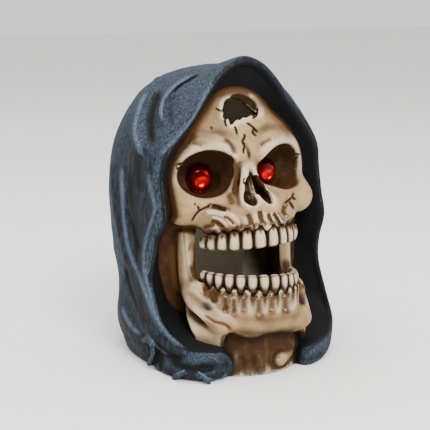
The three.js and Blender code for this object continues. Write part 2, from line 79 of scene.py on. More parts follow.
class Node(Enum):
    """The CAD nodes that the pieces stand for."""

    CASTING = "hooded_skull"
    RIGHT_GEM = "right_eye_gem"
    LEFT_GEM = "left_eye_gem"


# Field arithmetic

def union(a: Array, b: Array, blend: float) -> Array:
    """Joins two distance fields with a fillet of about the blend's size."""
    share = np.clip(0.5 + 0.5 * (b - a) / blend, 0.0, 1.0)
    return b + (a - b) * share - blend * share * (1.0 - share)


def meet(a: Array, b: Array, blend: float) -> Array:
    """Keeps what lies inside both fields, with the edge rounded by the blend."""
    return -union(-a, -b, blend)


def rise(low: float | Array, high: float, value: Array) -> Array:
    """Goes smoothly from 0 at low to 1 at high."""
    t = np.clip((value - low) / (high - low), 0.0, 1.0)
    return t * t * (3.0 - 2.0 * t)


class Curve:
    """A smooth curve through a few knots; the ends hold beyond the first and last knot."""

    def __init__(self, places: Sequence[float], values: Sequence) -> None:
        """Works out the slopes.

        Args:
            places: The knots' places, rising.
            values: The knots' values, or a row of several values for each knot.
        """
        self.x = np.asarray(places, float)
        self.y = np.asarray(values, float)
        self.slopes = np.gradient(self.y, self.x, axis=0)

    def __call__(self, at: Array) -> Array:
        """Reads the curve.

        Args:
            at: The places to read it at.

        Returns:
            One number for each place, or one row of numbers for each of its values.
        """
        at = np.minimum(np.maximum(at, self.x[0]), self.x[-1])
        i = np.minimum(np.searchsorted(self.x, at, side="right") - 1, len(self.x) - 2)
        span = self.x[i + 1] - self.x[i]
        t = (at - self.x[i]) / span
        t2 = t * t
        t3 = t2 * t
        start, end = self.y[i].T, self.y[i + 1].T
        rise_in, rise_out = self.slopes[i].T * span, self.slopes[i + 1].T * span
        return (start * (2 * t3 - 3 * t2 + 1) + rise_in * (t3 - 2 * t2 + t)
                + end * (3 * t2 - 2 * t3) + rise_out * (t3 - t2))


def stacked(rows: Sequence[Sequence[float]]) -> Curve:
    """Makes a curve up through rows that each hold a height and the values there."""
    return Curve([row[0] for row in rows], [row[1:] for row in rows])


def spline(points: Path, per_span: int, closed: bool = False) -> Array:
    """Draws a smooth line through points.

    Args:
        points: The points that the line passes through.
        per_span: How many samples each span between two points gets.
        closed: Whether the line returns to its first point.

    Returns:
        The samples, one row each.
    """
    knots = np.asarray(points, float)
    count = len(knots)
    if closed:
        knots = np.concatenate([knots[-3:], knots, knots[:4]])
    places = np.concatenate([[0.0], np.cumsum(np.sqrt(np.linalg.norm(np.diff(knots, axis=0), axis=1)))])
    first, last = (3, 3 + count) if closed else (0, count - 1)
    steps = [np.linspace(places[i], places[i + 1], per_span, endpoint=False) for i in range(first, last)]
    at = np.concatenate(steps + [[places[last]]])
    return Curve(places, knots)(at).T


def turned(turn: Triple) -> Array:
    """Gives the matrix that turns by these degrees about X, then Y, then Z.

    Args:
        turn: The three angles.

    Returns:
        The turning matrix.
    """
    matrix = np.eye(3)
    for axis, degrees in zip("XYZ", turn):
        matrix = np.array(Matrix.Rotation(math.radians(degrees), 3, axis)) @ matrix
    return matrix


# What the photograph shows

@dataclass(frozen=True)
class Viewpoint:
    """Where the photograph was taken from."""

    azimuth: float = -30.0
    elevation: float = 12.5
    distance: float = 637.0
    eye: Triple = (-312.82, -536.88, 220.38)
    aim: Pair = (2.47, -2.47)

    def axes(self) -> tuple[Array, Array, Array]:
        """Gives the directions right, up and back towards the eye.

        Returns:
            The three unit vectors.
        """
        turn, tilt = math.radians(self.azimuth), math.radians(self.elevation)
        back = np.array([math.sin(turn) * math.cos(tilt), -math.cos(turn) * math.cos(tilt), math.sin(tilt)])
        right = np.array([math.cos(turn), math.sin(turn), 0.0])
        return right, np.cross(back, right), back

    def seen(self, points: Array) -> Array:
        """Gives where points are seen: millimetres right and up of the ornament's middle.

        Args:
            points: The places, in millimetres.

        Returns:
            One row for each point.
        """
        right, up, back = self.axes()
        offset = points - np.array(self.eye)
        scale = self.distance / -(offset @ back)
        across, height = (offset @ right) * scale, (offset @ up) * scale
        return np.stack([across - self.aim[0], height - self.aim[1]], axis=1)


@dataclass(frozen=True)
class Line:
    """A groove, or a ridge where its depth is negative; its paint is dark, or light where negative."""

    path: Sequence[Pair]
    width: float
    depth: float
    paint: float = 0.0


@dataclass
class Drawing:
    """Lines on the side that the photograph shows."""

    lines: Sequence[Line]
    view: Viewpoint = field(default_factory=Viewpoint)
    reach: float = 2.6

    def __post_init__(self) -> None:
        """Samples the lines."""
        self.paths = [spline(line.path, 3) for line in self.lines]
        self.tapers = [min(6.0 * line.width, 0.2 * np.linalg.norm(np.diff(path, axis=0), axis=1).sum())
                       for line, path in zip(self.lines, self.paths)]

    def read(self, points: Array) -> tuple[Array, Array]:
        """Reads the drawing at points near each other.

        Args:
            points: The places.

        Returns:
            How deep the skin is pressed in at each point, and how dark the paint in the lines is there.
        """
        depth, paint = np.zeros(len(points)), np.zeros(len(points))
        seen = self.view.seen(points)
        low, high = seen.min(0), seen.max(0)
        for line, path, taper in zip(self.lines, self.paths, self.tapers):
            margin = line.width * self.reach
            first, last = path.min(0) - margin, path.max(0) + margin
            if (first > high).any() or (last < low).any():
                continue
            spots = np.nonzero(((seen > first) & (seen < last)).all(1))[0]
            step = np.diff(path, axis=0)
            offset = seen[spots][:, None, :] - path[None, :-1]
            share = np.clip((offset * step).sum(2) / (step * step).sum(1), 0.0, 1.0)
            away = offset - share[:, :, None] * step
            to_end = np.minimum(*(np.linalg.norm(seen[spots] - path[end], axis=1) for end in (0, -1)))
            profile = np.exp(-(away * away).sum(2).min(1) / line.width**2) * rise(0.0, taper, to_end)
            depth[spots] += line.depth * profile
            fresh = line.paint * profile
            paint[spots] = np.where(np.abs(fresh) > np.abs(paint[spots]), fresh, paint[spots])
        facing = rise(-8.0, 4.0, points[:, :2] @ self.view.axes()[2][:2])
        return depth * facing, paint * facing


# Lines on the face and the cloth, placed in millimetres right and up of the ornament's middle as the
# photograph shows them

CRACKS = [Line(path, 0.55, 0.9, 1.5) for path in (
    ((14.1, 53.6), (15.9, 51), (14.3, 47.9), (15.6, 45.1), (14.9, 42.2), (15.6, 39.1)),
    ((9.3, 57.7), (10.5, 54.8), (11.1, 51.7)),
    ((3.3, 61.7), (4.2, 58), (5.1, 57)),
    ((15.9, 60.2), (19, 58), (21.5, 55.7), (20.6, 53.6), (23.4, 50.4)),
    ((21.5, 55.7), (23.1, 53.9)),
    ((-2.4, 68.6), (1, 66.5)),
    ((23.8, 68.5), (22.8, 63.6), (19.8, 62)),
    ((-26.7, 33.4), (-23.8, 34.3)),
    ((46.4, 40.3), (49.9, 39.7)),
    ((-17.5, -2.2), (-14.7, 2.5), (-12.2, 5.1), (-9.3, 6.6), (-6.2, 8.2), (-4.6, 10.7)),
    ((-12.2, 5.1), (-13.1, 7.9)),
    ((46.1, 16.4), (45.1, 13.6), (47.3, 11.7)),
    ((45.1, 13.6), (41.7, 10.7), (40.1, 9.8)),
    ((43, 10.7), (46.1, 6.3)),
)]
CHIPS = [Line(path, 0.6, 0.6, 1.2) for path in (
    ((15.9, 25.9), (14.9, 23.3), (15.9, 21.1)),
    ((-4.9, 56.4), (-4.6, 55.8)),
    ((-15, 9.4), (-14.7, 9)),
    ((-26, 31.8), (-25.6, 31.2)),
    ((48.6, 38.3), (47.8, 37.7)),
)]
FURROWS = [
    Line(((-5.5, 8.2), (-1.2, 7.4), (2, 6.2), (5.3, 5.2)), 1.5, 1.8, 1.4),
    Line(((-17.5, 46.6), (-13.1, 46.3), (-9.3, 45.1)), 1.9, 0.8, 0.25),
    Line(((1.4, 49.1), (5.1, 47.9), (7.7, 45.1), (9.3, 41.6), (9.6, 38.5)), 1.9, 0.9, 0.2),
    Line(((33.5, 49.4), (30.4, 48.5), (27.2, 46.6), (24.7, 44.8)), 1.9, 0.8, 0.25),
    Line(((10.8, 36.5), (11.5, 31.5), (11.2, 25.2), (10.8, 17.7), (12, 11), (15, 4.5)), 2.2, 0.35, 0.8),
    Line(((6.4, 14), (7.7, 10.5)), 2.6, 0.6, 0.7),
    Line(((1.5, 1.8), (5, 0.8), (8, -2), (10.2, -4.5)), 1.2, 1.2, 0.9),
    Line(((-5.5, -0.8), (-1, -2.3), (1.5, -4), (3, -6.3)), 1.2, 1.2, 0.9),
    Line(((-8, -5), (-4, -3.7)), 1.6, 1.0, 0.9),
    Line(((12.5, -1), (14.5, -5)), 1.0, 0.8, 0.5),
    Line(((17, 3.6), (18.8, 1), (20, -5)), 1.5, 1.1, 0.8),
    Line(((24.7, 6), (25.8, 0), (27.2, -4)), 1.5, 1.2, 0.9),
    Line(((29.8, 4), (31, 0), (33, -2.8)), 1.1, 0.9, 0.9),
    Line(((33.3, 4.5), (35.5, 0), (37.8, -3.8)), 1.1, 1.0, 0.9),
    Line(((36, 5.2), (38, 1.5), (40.2, -2)), 0.9, 0.7, 0.7),
    Line(((40.7, 8.6), (39.5, 4.5), (41.3, 1.5)), 1.6, 1.0, 0.9),
    Line(((-14, -11), (-14.3, -21.9), (-14.1, -33.1), (-12, -40)), 2.0, 0.6, 1.0),
    Line(((-29.5, -12), (-29, -24), (-27.5, -36), (-24, -48)), 2.4, 0.4, 0.8),
    Line(((-31.5, -12), (-29.5, -8), (-24, -6.3), (-17, -6.3), (-12, -8.3), (-9.5, -13)), 2.2, 0.7, 1.1),
    Line(((-10.2, -57.8), (-3.5, -63.1), (4, -65.3), (8.5, -69.8)), 1.2, 1.0, 0.7),
]
WRINKLES = [
    Line(((-10.5, 3.2), (-3, 4.2), (3, 1.8), (7.5, -2.5), (10.8, -7)), 1.5, -1.5, -0.6),
    Line(((-1, 5), (6, 3.2), (11, -0.8), (14, -5.5)), 1.4, -1.3, -0.6),
    Line(((-4.5, -5.5), (-1.5, -5.8), (0.5, -9)), 1.4, -1.0, -0.5),
    Line(((-6.5, 0.8), (-0.5, 0.2), (3.5, -2.8), (6, -7)), 1.1, -1.1, -0.5),
    Line(((-19.2, -42.2), (-11.7, -45.1), (-4.3, -53.4), (2.5, -59.4), (11.5, -61.1)), 2.4, -1.2, -0.3),
    Line(((21.9, 4.3), (23.3, -3.1)), 1.4, -1.2, -0.5),
    Line(((28.2, 4.9), (29.8, -2.5)), 1.3, -1.2, -0.5),
    Line(((32, 4.5), (34.5, -2.5)), 1.0, -0.9, -0.5),
    Line(((36.5, 3), (39.5, -3.5)), 1.0, -0.9, -0.5),
    Line(((15, 2), (17.3, -4.3)), 1.2, -1.0, -0.4),
    Line(((15.4, 35.8), (14.8, 29), (14.2, 17.9), (14.2, 7)), 1.2, -0.5, -0.6),
    Line(((-20, -12), (-20.5, -25), (-20, -38), (-16, -46)), 3.0, -0.8, 0.0),
]
STAINS = [Line(path, width, 0.0, paint) for path, width, paint in (
    (((-3, 74), (4, 77.5), (13, 78.5), (22, 76)), 3.0, 0.8),
    (((16, 78.4), (27, 70), (38, 58), (48, 46)), 3.5, 0.6),
    (((-1, 76), (-7, 66), (-14, 56), (-22, 46), (-28, 37)), 2.5, 0.5),
    (((27, 62), (35, 56), (41, 49)), 5.0, 0.4),
    (((-13, 0), (-6, 3), (2, 1), (8, -4)), 5.0, 0.35),
    (((44, 14), (41, 9), (38, 3)), 3.5, 0.4),
    (((-20, -50), (-12, -55), (-4, -61)), 3.0, 0.25),
    (((-20, -14), (-20.5, -25), (-20, -38)), 4.0, 0.25),
)]
ROOTS = [Line(((across, top), (across, low)), width * 1.25, 1.2, 0.75) for across, top, low, width in (
    (-8.3, -43.2, -46.9, 1.4), (-2.8, -44.4, -50, 1.7), (4, -47.5, -56.8, 1.6), (9.2, -48.1, -58.6, 1.4),
    (15.2, -47.8, -56.2, 1.8), (24.6, -48.1, -59.3, 2.2), (32.4, -46.6, -56.2, 2.5),
    (40.6, -46.9, -56.2, 2.3),
)]
CLOTH_RIDGES = [
    Line(((-41.4, 82.1), (-46.3, 75.3), (-49.7, 67.3), (-51.5, 59.9), (-52.2, 52.5), (-50, 45.1),
          (-47.5, 38.9), (-44.4, 34)), 2.0, -1.3, -0.9),
    Line(((-13, 90.7), (-19.1, 87.3), (-25.3, 83.6), (-30.2, 79.3), (-34.3, 74.1), (-35.8, 67.9),
          (-35.5, 61.7), (-34.6, 56.2)), 1.6, -1.1, -0.9),
    Line(((-2.5, 87.7), (-6.2, 80.9), (-9.9, 74.1), (-13.6, 66.7), (-18.2, 59.6), (-24.1, 52.5),
          (-30.2, 45.7), (-35.2, 40.4), (-40.1, 36.4)), 1.5, -0.5, -0.8),
    Line(((-43.2, 32.7), (-43.5, 25.3), (-42.3, 17.9), (-40.4, 11.1), (-39.5, 5.6), (-41.7, -1.2),
          (-44.4, -9.9), (-46.3, -19.1), (-46.3, -28.4), (-44.4, -38.9), (-42, -48.1), (-39.5, -56.8),
          (-36.4, -64.2), (-31.5, -71), (-24.7, -77.2), (-17.9, -80.9)), 1.5, -1.0, -0.8),
    Line(((-59.9, 36.4), (-60.2, 24.1), (-59.6, 11.7), (-58.6, -0.6), (-57.1, -13), (-54, -24.1),
          (-50.3, -33.3), (-46.6, -42.6), (-42.9, -51.2), (-39.2, -59.9), (-34.3, -67.9), (-29, -74.1),
          (-22.2, -79.6)), 1.6, -1.2, -0.9),
    Line(((-60.2, -51.9), (-58.3, -59.3), (-54.9, -65.4), (-50.6, -69.8), (-46.3, -72.2)), 1.6, -1.0, -0.9),
    Line(((-18.8, -91.4), (-13.6, -93.5), (-8, -97.5), (-2.5, -99.7), (3.1, -97.5),
          (6.2, -92.6)), 1.0, -0.6, -0.9),
    Line(((-19.1, -91.4), (-22.8, -94.1), (-27.2, -96.9)), 1.0, -0.6, -0.7),
    Line(((-45.7, -68.5), (-41.4, -75.3), (-34.6, -81.5), (-26.5, -85.8)), 1.3, -0.6, -0.7),
]
# The cloth's valleys: grooves, with painted shade along them
CLOTH_VALLEYS = [
    Line(((-34.6, 80.9), (-38.9, 74.1), (-41.7, 66), (-42.6, 57.4), (-41.7, 49.4),
          (-38.9, 43.2)), 2.6, 1.3, 0.75),
    Line(((-9.9, 90.4), (-17.3, 86.1), (-24.1, 82.1), (-29.3, 76.5)), 0.9, 0.8, 0.6),
    Line(((-26.5, 78.4), (-30.2, 71), (-30.2, 62.3), (-28.4, 54.9)), 2.2, 0.7, 0.35),
    Line(((-54.3, 33.3), (-54.3, 21), (-53.1, 8.6), (-51.2, -3.7), (-49.4, -16),
          (-45.7, -26.5)), 2.4, 1.1, 0.6),
    Line(((-57.4, -24.1), (-56.2, -32.7), (-53.7, -42.6), (-50, -52.5), (-46.3, -61.1),
          (-42.6, -67.9)), 2.0, 1.6, 1.1),
    Line(((-59.9, -68.5), (-54.9, -73.5), (-48.8, -75.9)), 1.4, 0.8, 0.6),
    Line(((-38, -2), (-37, -8.3), (-35.1, -27.6), (-31.2, -46.9), (-25.5, -64.3)), 3.4, 0.9, 0.8),
    Line(((-47, 45), (-49, 38), (-49.5, 28), (-48, 14)), 3.0, 1.0, 0.6),
    Line(((-32, -87), (-19, -92), (-7, -92.5), (1, -89)), 2.6, 1.2, 1.0),
    Line(((-40, -76), (-30, -84), (-20, -88.5)), 2.0, 0.8, 0.7),
]


# Clay forms

class Form(Protocol):
    """A shape that tells how far points are from its skin."""

    low: Array
    high: Array

    def distance(self, points: Array) -> Array:
        """Gives the distance of each point, negative inside."""


@dataclass
class Ball:
    """An ellipsoid."""

    centre: Triple
    radii: Triple | float
    turn: Triple | None = None

    def __post_init__(self) -> None:
        """Works out the box and the turning matrix."""
        self.middle = np.asarray(self.centre, float)
        self.half = np.broadcast_to(np.asarray(self.radii, float), 3)
        self.matrix = turned(self.turn) if self.turn else None
        reach = self.half if self.turn is None else np.full(3, self.half.max())
        self.low, self.high = self.middle - reach, self.middle + reach

    def distance(self, points: Array) -> Array:
        """Gives the distance of each point, negative inside.

        Args:
            points: The places, in millimetres.

        Returns:
            The distances, negative inside.
        """
        offset = points - self.middle
        if self.matrix is not None:
            offset = offset @ self.matrix
        scaled = np.sqrt(((offset / self.half) ** 2).sum(1))
        steep = np.sqrt(((offset / self.half**2) ** 2).sum(1)) + 1e-9
        return scaled * (scaled - 1.0) / steep


@dataclass
class Trail:
    """A smooth roll of clay along a line, with a radius at each point."""

    line: Path
    radii: Sequence[float] | float
    per_span: int = 4

    def __post_init__(self) -> None:
        """Samples the line."""
        radii = self.radii if isinstance(self.radii, Sequence) else [self.radii] * len(self.line)
        knots = [(*point, radius) for point, radius in zip(self.line, radii)]
        samples = spline(knots, self.per_span)
        self.spots, self.sizes = samples[:, :3], samples[:, 3]
        self.low = (self.spots - self.sizes[:, None]).min(0)
        self.high = (self.spots + self.sizes[:, None]).max(0)

    def distance(self, points: Array) -> Array:
        """Gives the distance of each point, negative inside.

        Args:
            points: The places, in millimetres.

        Returns:
            The distances, negative inside.
        """
        nearest = np.full(len(points), FAR)
        for i in range(len(self.spots) - 1):
            start, step = self.spots[i], self.spots[i + 1] - self.spots[i]
            share = np.clip((points - start) @ step / max(step @ step, 1e-9), 0.0, 1.0)
            gap = np.linalg.norm(points - start - share[:, None] * step, axis=1)
            nearest = np.minimum(nearest, gap - self.sizes[i] - share * (self.sizes[i + 1] - self.sizes[i]))
        return nearest


@dataclass
class Slab:
    """A block with rounded edges."""

    centre: Triple
    half: Triple
    rounding: float = 1.0
    turn: Triple | None = None

    def __post_init__(self) -> None:
        """Works out the box and the turning matrix."""
        self.middle = np.asarray(self.centre, float)
        self.core = np.asarray(self.half, float) - self.rounding
        self.matrix = turned(self.turn) if self.turn else None
        size = np.asarray(self.half, float)
        reach = size if self.turn is None else np.full(3, np.linalg.norm(size))
        self.low, self.high = self.middle - reach, self.middle + reach

    def distance(self, points: Array) -> Array:
        """Gives the distance of each point, negative inside.

        Args:
            points: The places, in millimetres.

        Returns:
            The distances, negative inside.
        """
        offset = points - self.middle
        if self.matrix is not None:
            offset = offset @ self.matrix
        past = np.abs(offset) - self.core
        outside = np.linalg.norm(np.maximum(past, 0.0), axis=1)
        return outside + np.minimum(past.max(1), 0.0) - self.rounding


@dataclass
class Prism:
    """A straight hole whose outline is seen from the front, perhaps slanting as it goes back."""

    outline: Sequence[Pair]
    front: float
    back: float
    slant: Pair = (0.0, 0.0)
    level: float = 0.0

    def __post_init__(self) -> None:
        """Works out the box."""
        corners = np.asarray(self.outline, float)
        self.corners = corners
        shift = np.abs(self.slant) * max(self.level - self.front, self.back - self.level)
        self.low = np.array([corners[:, 0].min() - shift[0], self.front, corners[:, 1].min() - shift[1]])
        self.high = np.array([corners[:, 0].max() + shift[0], self.back, corners[:, 1].max() + shift[1]])

    def distance(self, points: Array) -> Array:
        """Gives the distance of each point, negative inside.

        Args:
            points: The places, in millimetres.

        Returns:
            The distances, negative inside.
        """
        spots = points[:, [0, 2]] - (points[:, 1:2] - self.level) * np.array(self.slant)
        nearest = np.full(len(points), FAR)
        inside = np.zeros(len(points), bool)
        for start, end in zip(self.corners, np.roll(self.corners, -1, axis=0)):
            step = end - start
            share = np.clip((spots - start) @ step / (step @ step), 0.0, 1.0)
            nearest = np.minimum(nearest, np.linalg.norm(spots - start - share[:, None] * step, axis=1))
            spans = (start[1] > spots[:, 1]) != (end[1] > spots[:, 1])
            rate = step[0] / step[1] if step[1] else 0.0
            inside ^= spans & (spots[:, 0] < start[0] + rate * (spots[:, 1] - start[1]))
        side = np.where(inside, -nearest, nearest)
        return np.maximum(side, np.maximum(self.front - points[:, 1], points[:, 1] - self.back))


@dataclass(frozen=True)
class Stroke:
    """One form put on or carved off, perhaps on both sides of the face alike."""

    form: Form
    blend: float
    adds: bool
    both: bool


@dataclass
class Clay:
    """A lump of clay made by strokes in order."""

    strokes: list[Stroke] = field(default_factory=list)

    def add(self, form: Form, blend: float = 2.0, both: bool = False) -> None:
        """Puts a form on."""
        self.strokes.append(Stroke(form, blend, True, both))

    def carve(self, form: Form, blend: float = 1.0, both: bool = False) -> None:
        """Cuts a form off."""
        self.strokes.append(Stroke(form, blend, False, both))

    def distance(self, points: Array, start: Array | None = None, margin: float = 7.0) -> Array:
        """Gives the distance of each point to the clay.

        Args:
            points: Places near each other, so that far strokes are passed over quickly.
            start: The distances to what the strokes are made on, if anything.
            margin: How far from a form its stroke still counts.

        Returns:
            The distances, negative inside the clay.
        """
        nearest = np.full(len(points), FAR) if start is None else start
        folded = points * np.array([0.0, 1.0, 1.0])
        folded[:, 0] = np.abs(points[:, 0])
        boxes = [(spots.min(0), spots.max(0)) for spots in (points, folded)]
        for stroke in self.strokes:
            low, high = boxes[stroke.both]
            reach = margin + stroke.blend
            if (stroke.form.low - reach > high).any() or (stroke.form.high + reach < low).any():
                continue
            found = stroke.form.distance(folded if stroke.both else points)
            if stroke.adds:
                nearest = union(nearest, found, stroke.blend)
            else:
                nearest = meet(nearest, -found, stroke.blend)
        return nearest


# Hood

@dataclass(frozen=True)
class Fold:
    """A ridge in the cloth along a line, or a groove where its height is negative."""

    height: float
    width: float
    line: Path
    sharpness: float = 1.7
    reach: float = 2.4
    fade: float = 2.0


@dataclass
class HoodCloth:
    """The draped hood: a radius round a centre inside it, cut open in front behind a rolled rim."""

    plan: Rows = (
        (0, 0, 0, 56, 56), (14, 0, 0, 60, 63), (44, 0, 0, 58.5, 61), (74, 0, 0, 62, 68), (105, 0, 0, 63, 70),
        (135, 0, 5, 56.5, 58), (150, 1.5, 9, 48.5, 48.5), (161, 3, 12, 39, 39), (168, 4, 14, 27, 27),
        (172, 5, 16, 14, 14), (173.5, 5, 17, 4, 4),
    )
    squareness: float = 2.4
    centre: Triple = (0, 12, 92)
    flare_angle: float = 0.2
    ridge: Path = (
        (3, -25, 180.8), (17, -23, 176.5), (26, -24, 167.5), (34, -25.5, 156), (43.5, -27.5, 143.5),
        (53.5, -28.5, 127), (56, -27.5, 113), (57, -29, 98), (58.5, -31, 83), (57.5, -27.5, 67),
        (58.5, -26, 53), (61, -31, 33), (61.5, -38, 16), (51, -49, 9), (38, -56, 6), (25, -58, -3),
        (12, -52, -12), (-10, -52, -14), (-21, -55, 0), (-29, -56, 12.5), (-39, -51, 13.5),
        (-48, -43, 14.5), (-56, -33, 24), (-60.5, -29.5, 41), (-61, -25.5, 56), (-58.5, -29, 74),
        (-57.5, -38, 93), (-57.5, -36, 105), (-57, -33, 118), (-53.5, -34, 130.5), (-41, -34, 145.5),
        (-28, -31, 160), (-10, -25, 175.5),
    )
    lip_width: float = 6.5
    lip_set_back: float = 4.0
    lip_rounding: float = 4.5
    recess_back: float = -9.0
    recess_middle: float = 82.0
    recess_half: Pair = (45.0, 74.0)
    folds: Sequence[Fold] = (
        Fold(3.2, 5, ((-24, 24, 170), (-42, 15, 158), (-52, 4, 144), (-56, -4, 134), (-57, -18, 125))),
        Fold(-2.0, 6, ((-34, 10, 164), (-47, -1, 149), (-53, -10, 136))),
        Fold(2.6, 4, ((-13, 8, 172), (-36, -5, 160), (-46, -13, 148), (-49, -20, 141))),
        Fold(2.6, 5, ((-58, 24, 121), (-62, 17, 106), (-62, 11, 86), (-61, 4, 62), (-58, -8, 42),
                      (-56, -28, 24))),
        Fold(-2.4, 5, ((-62, 3, 100), (-61, -6, 76), (-60, -12, 54), (-58, -20, 36))),
        Fold(-2.0, 6, ((-62, 26, 84), (-61, 18, 56), (-58, 10, 36))),
        Fold(2.4, 6, ((-56, 40, 70), (-58, 32, 46), (-60, 12, 24), (-58, -12, 12))),
        Fold(-2.4, 4, ((-61, 2, 24), (-59, -14, 18), (-57, -24, 8))),
        Fold(3.0, 6, ((26, 22, 170), (44, 12, 157), (55, 0, 140), (58, -14, 124))),
        Fold(-2.0, 6, ((36, 8, 162), (51, -6, 146), (57, -16, 132))),
        Fold(2.6, 6, ((60, 24, 120), (63, 12, 92), (61, 0, 60), (58, -18, 30))),
        Fold(-2.2, 6, ((62, 2, 100), (60, -8, 66), (58, -18, 44))),
        Fold(2.4, 6, ((54, 44, 84), (58, 30, 48), (60, 4, 20))),
        Fold(2.4, 8, ((-30, 52, 150), (-34, 60, 100), (-34, 54, 40), (-30, 52, 8))),
        Fold(2.2, 8, ((10, 52, 158), (6, 66, 104), (2, 60, 44), (4, 54, 8))),
        Fold(2.4, 8, ((36, 44, 146), (38, 56, 96), (36, 52, 40), (34, 50, 8))),
    )
    fold_start: Pair = (0.02, 0.2)
    steepest: float = 2.5
    lip_lap: float = 0.8
    recess_rounding: float = 5.0
    recess_least: float = 4.0
    base: float = -20.0
    farthest: float = 150.0
    halvings: int = 22
    drawn_reach: float = 3.5
    skin_depth: float = 1.8
    columns: int = 600
    rows: int = 300

    def __post_init__(self) -> None:
        """Draws the rim and works out the radius in every direction once."""
        self.middle = np.asarray(self.centre, float)
        self.plan_curve = stacked(self.plan)
        self._draw_rim()
        self._draw_radius()
        self.hem = self._hem()
        self.drawing = Drawing([*CLOTH_RIDGES, *CLOTH_VALLEYS])

    def _draw_rim(self) -> None:
        """Reads the rim's angle from the front, reach and depth for each direction round the face."""
        line = spline(self.ridge, 24, closed=True)
        offset = line - self.middle
        round_face = np.arctan2(line[:, 0], line[:, 2] - self.middle[2])
        reach = np.linalg.norm(offset, axis=1)
        across = np.hypot(line[:, 0], offset[:, 2])
        opening = np.arctan2(across, -offset[:, 1])
        order = np.argsort(round_face)
        self.rim_at = np.linspace(-np.pi, np.pi, self.columns + 1)
        reads = [np.interp(self.rim_at, round_face[order], v[order], period=2 * np.pi)
                 for v in (opening, reach, across, line[:, 1])]
        self.rim_opening, self.rim_reach, self.rim_across, self.rim_y = reads
        turn = np.linspace(-np.pi, np.pi, 361)
        oval_x = self.recess_half[0] * np.sin(turn)
        oval_z = self.recess_middle + self.recess_half[1] * np.cos(turn) - self.middle[2]
        oval_round = np.arctan2(oval_x, oval_z)
        order = np.argsort(oval_round)
        oval_across = np.hypot(oval_x, oval_z)
        self.oval_across = np.interp(self.rim_at, oval_round[order], oval_across[order], period=2 * np.pi)

    def _plain(self, points: Array) -> Array:
        """Measures points against the hood's plan, negative inside.

        Args:
            points: The places, in millimetres.

        Returns:
            Values of which only the sign counts.
        """
        x, y, half_x, half_y = self.plan_curve(np.maximum(points[:, 2], 0.0))
        across = (np.abs(points[:, 0] - x) / half_x) ** self.squareness
        along = (np.abs(points[:, 1] - y) / half_y) ** self.squareness
        over = np.maximum(points[:, 2] - self.plan[-1][0], self.base - points[:, 2])
        return np.maximum(across + along - 1.0, over)

    def _reach(self, directions: Array) -> Array:
        """Finds how far the plain hood goes from its centre in each direction.

        Args:
            directions: Unit vectors, one row each.

        Returns:
            The radius in each direction.
        """
        near = np.zeros(len(directions))
        far = np.full(len(directions), self.farthest)
        for _ in range(self.halvings):
            half = (near + far) / 2
            inside = self._plain(self.middle + directions * half[:, None]) < 0
            near = np.where(inside, half, near)
            far = np.where(inside, far, half)
        return near

    def _draw_radius(self) -> None:
        """Fills the table of the folded hood's radius, by direction round the face and from the front."""
        turns = np.linspace(0.0, np.pi, self.rows + 1)
        side = np.stack([np.sin(self.rim_at), 0 * self.rim_at, np.cos(self.rim_at)], axis=1)
        front = np.array([0.0, -1.0, 0.0])
        directions = front * np.cos(turns)[None, :, None] + side[:, None, :] * np.sin(turns)[None, :, None]
        flat = directions.reshape(-1, 3)
        plain = self._reach(flat).reshape(directions.shape[:2])
        at_rim = self._reach(front * np.cos(self.rim_opening)[:, None]
                             + side * np.sin(self.rim_opening)[:, None])
        past = np.clip(turns[None, :] - self.rim_opening[:, None], 0.0, None)
        flare = (self.rim_reach - at_rim)[:, None] * np.exp(-((past / self.flare_angle) ** 1.5))
        surface = self.middle + flat * plain.reshape(-1, 1)
        lift = sum(self._fold_lift(surface, fold) for fold in self.folds).reshape(plain.shape)
        self.radius = plain + flare + lift * rise(*self.fold_start, past)
        slope = np.gradient(plain + flare, turns[1], axis=1) / plain
        self.lean = 1.0 / np.sqrt(1.0 + np.clip(slope, -self.steepest, self.steepest) ** 2)

    @staticmethod
    def _fold_lift(surface: Array, fold: Fold) -> Array:
        """Gives how far one fold lifts the cloth at each place of the plain surface.

        Args:
            surface: Places on the plain hood.
            fold: The fold.

        Returns:
            The lift at each place.
        """
        line = spline(fold.line, 6)
        reach = fold.width * fold.reach
        near = ((surface > line.min(0) - reach) & (surface < line.max(0) + reach)).all(1)
        spots = np.nonzero(near)[0]
        trail = Trail(line, 0.0, 1)
        distance = np.maximum(trail.distance(surface[spots]), 0.0)
        ends = np.minimum(np.linalg.norm(surface[spots] - line[0], axis=1),
                          np.linalg.norm(surface[spots] - line[-1], axis=1))
        fade = rise(0.0, fold.width * fold.fade, ends)
        lift = np.zeros(len(surface))
        lift[spots] = fold.height * fade * np.exp(-((distance / fold.width) ** fold.sharpness))
        return lift

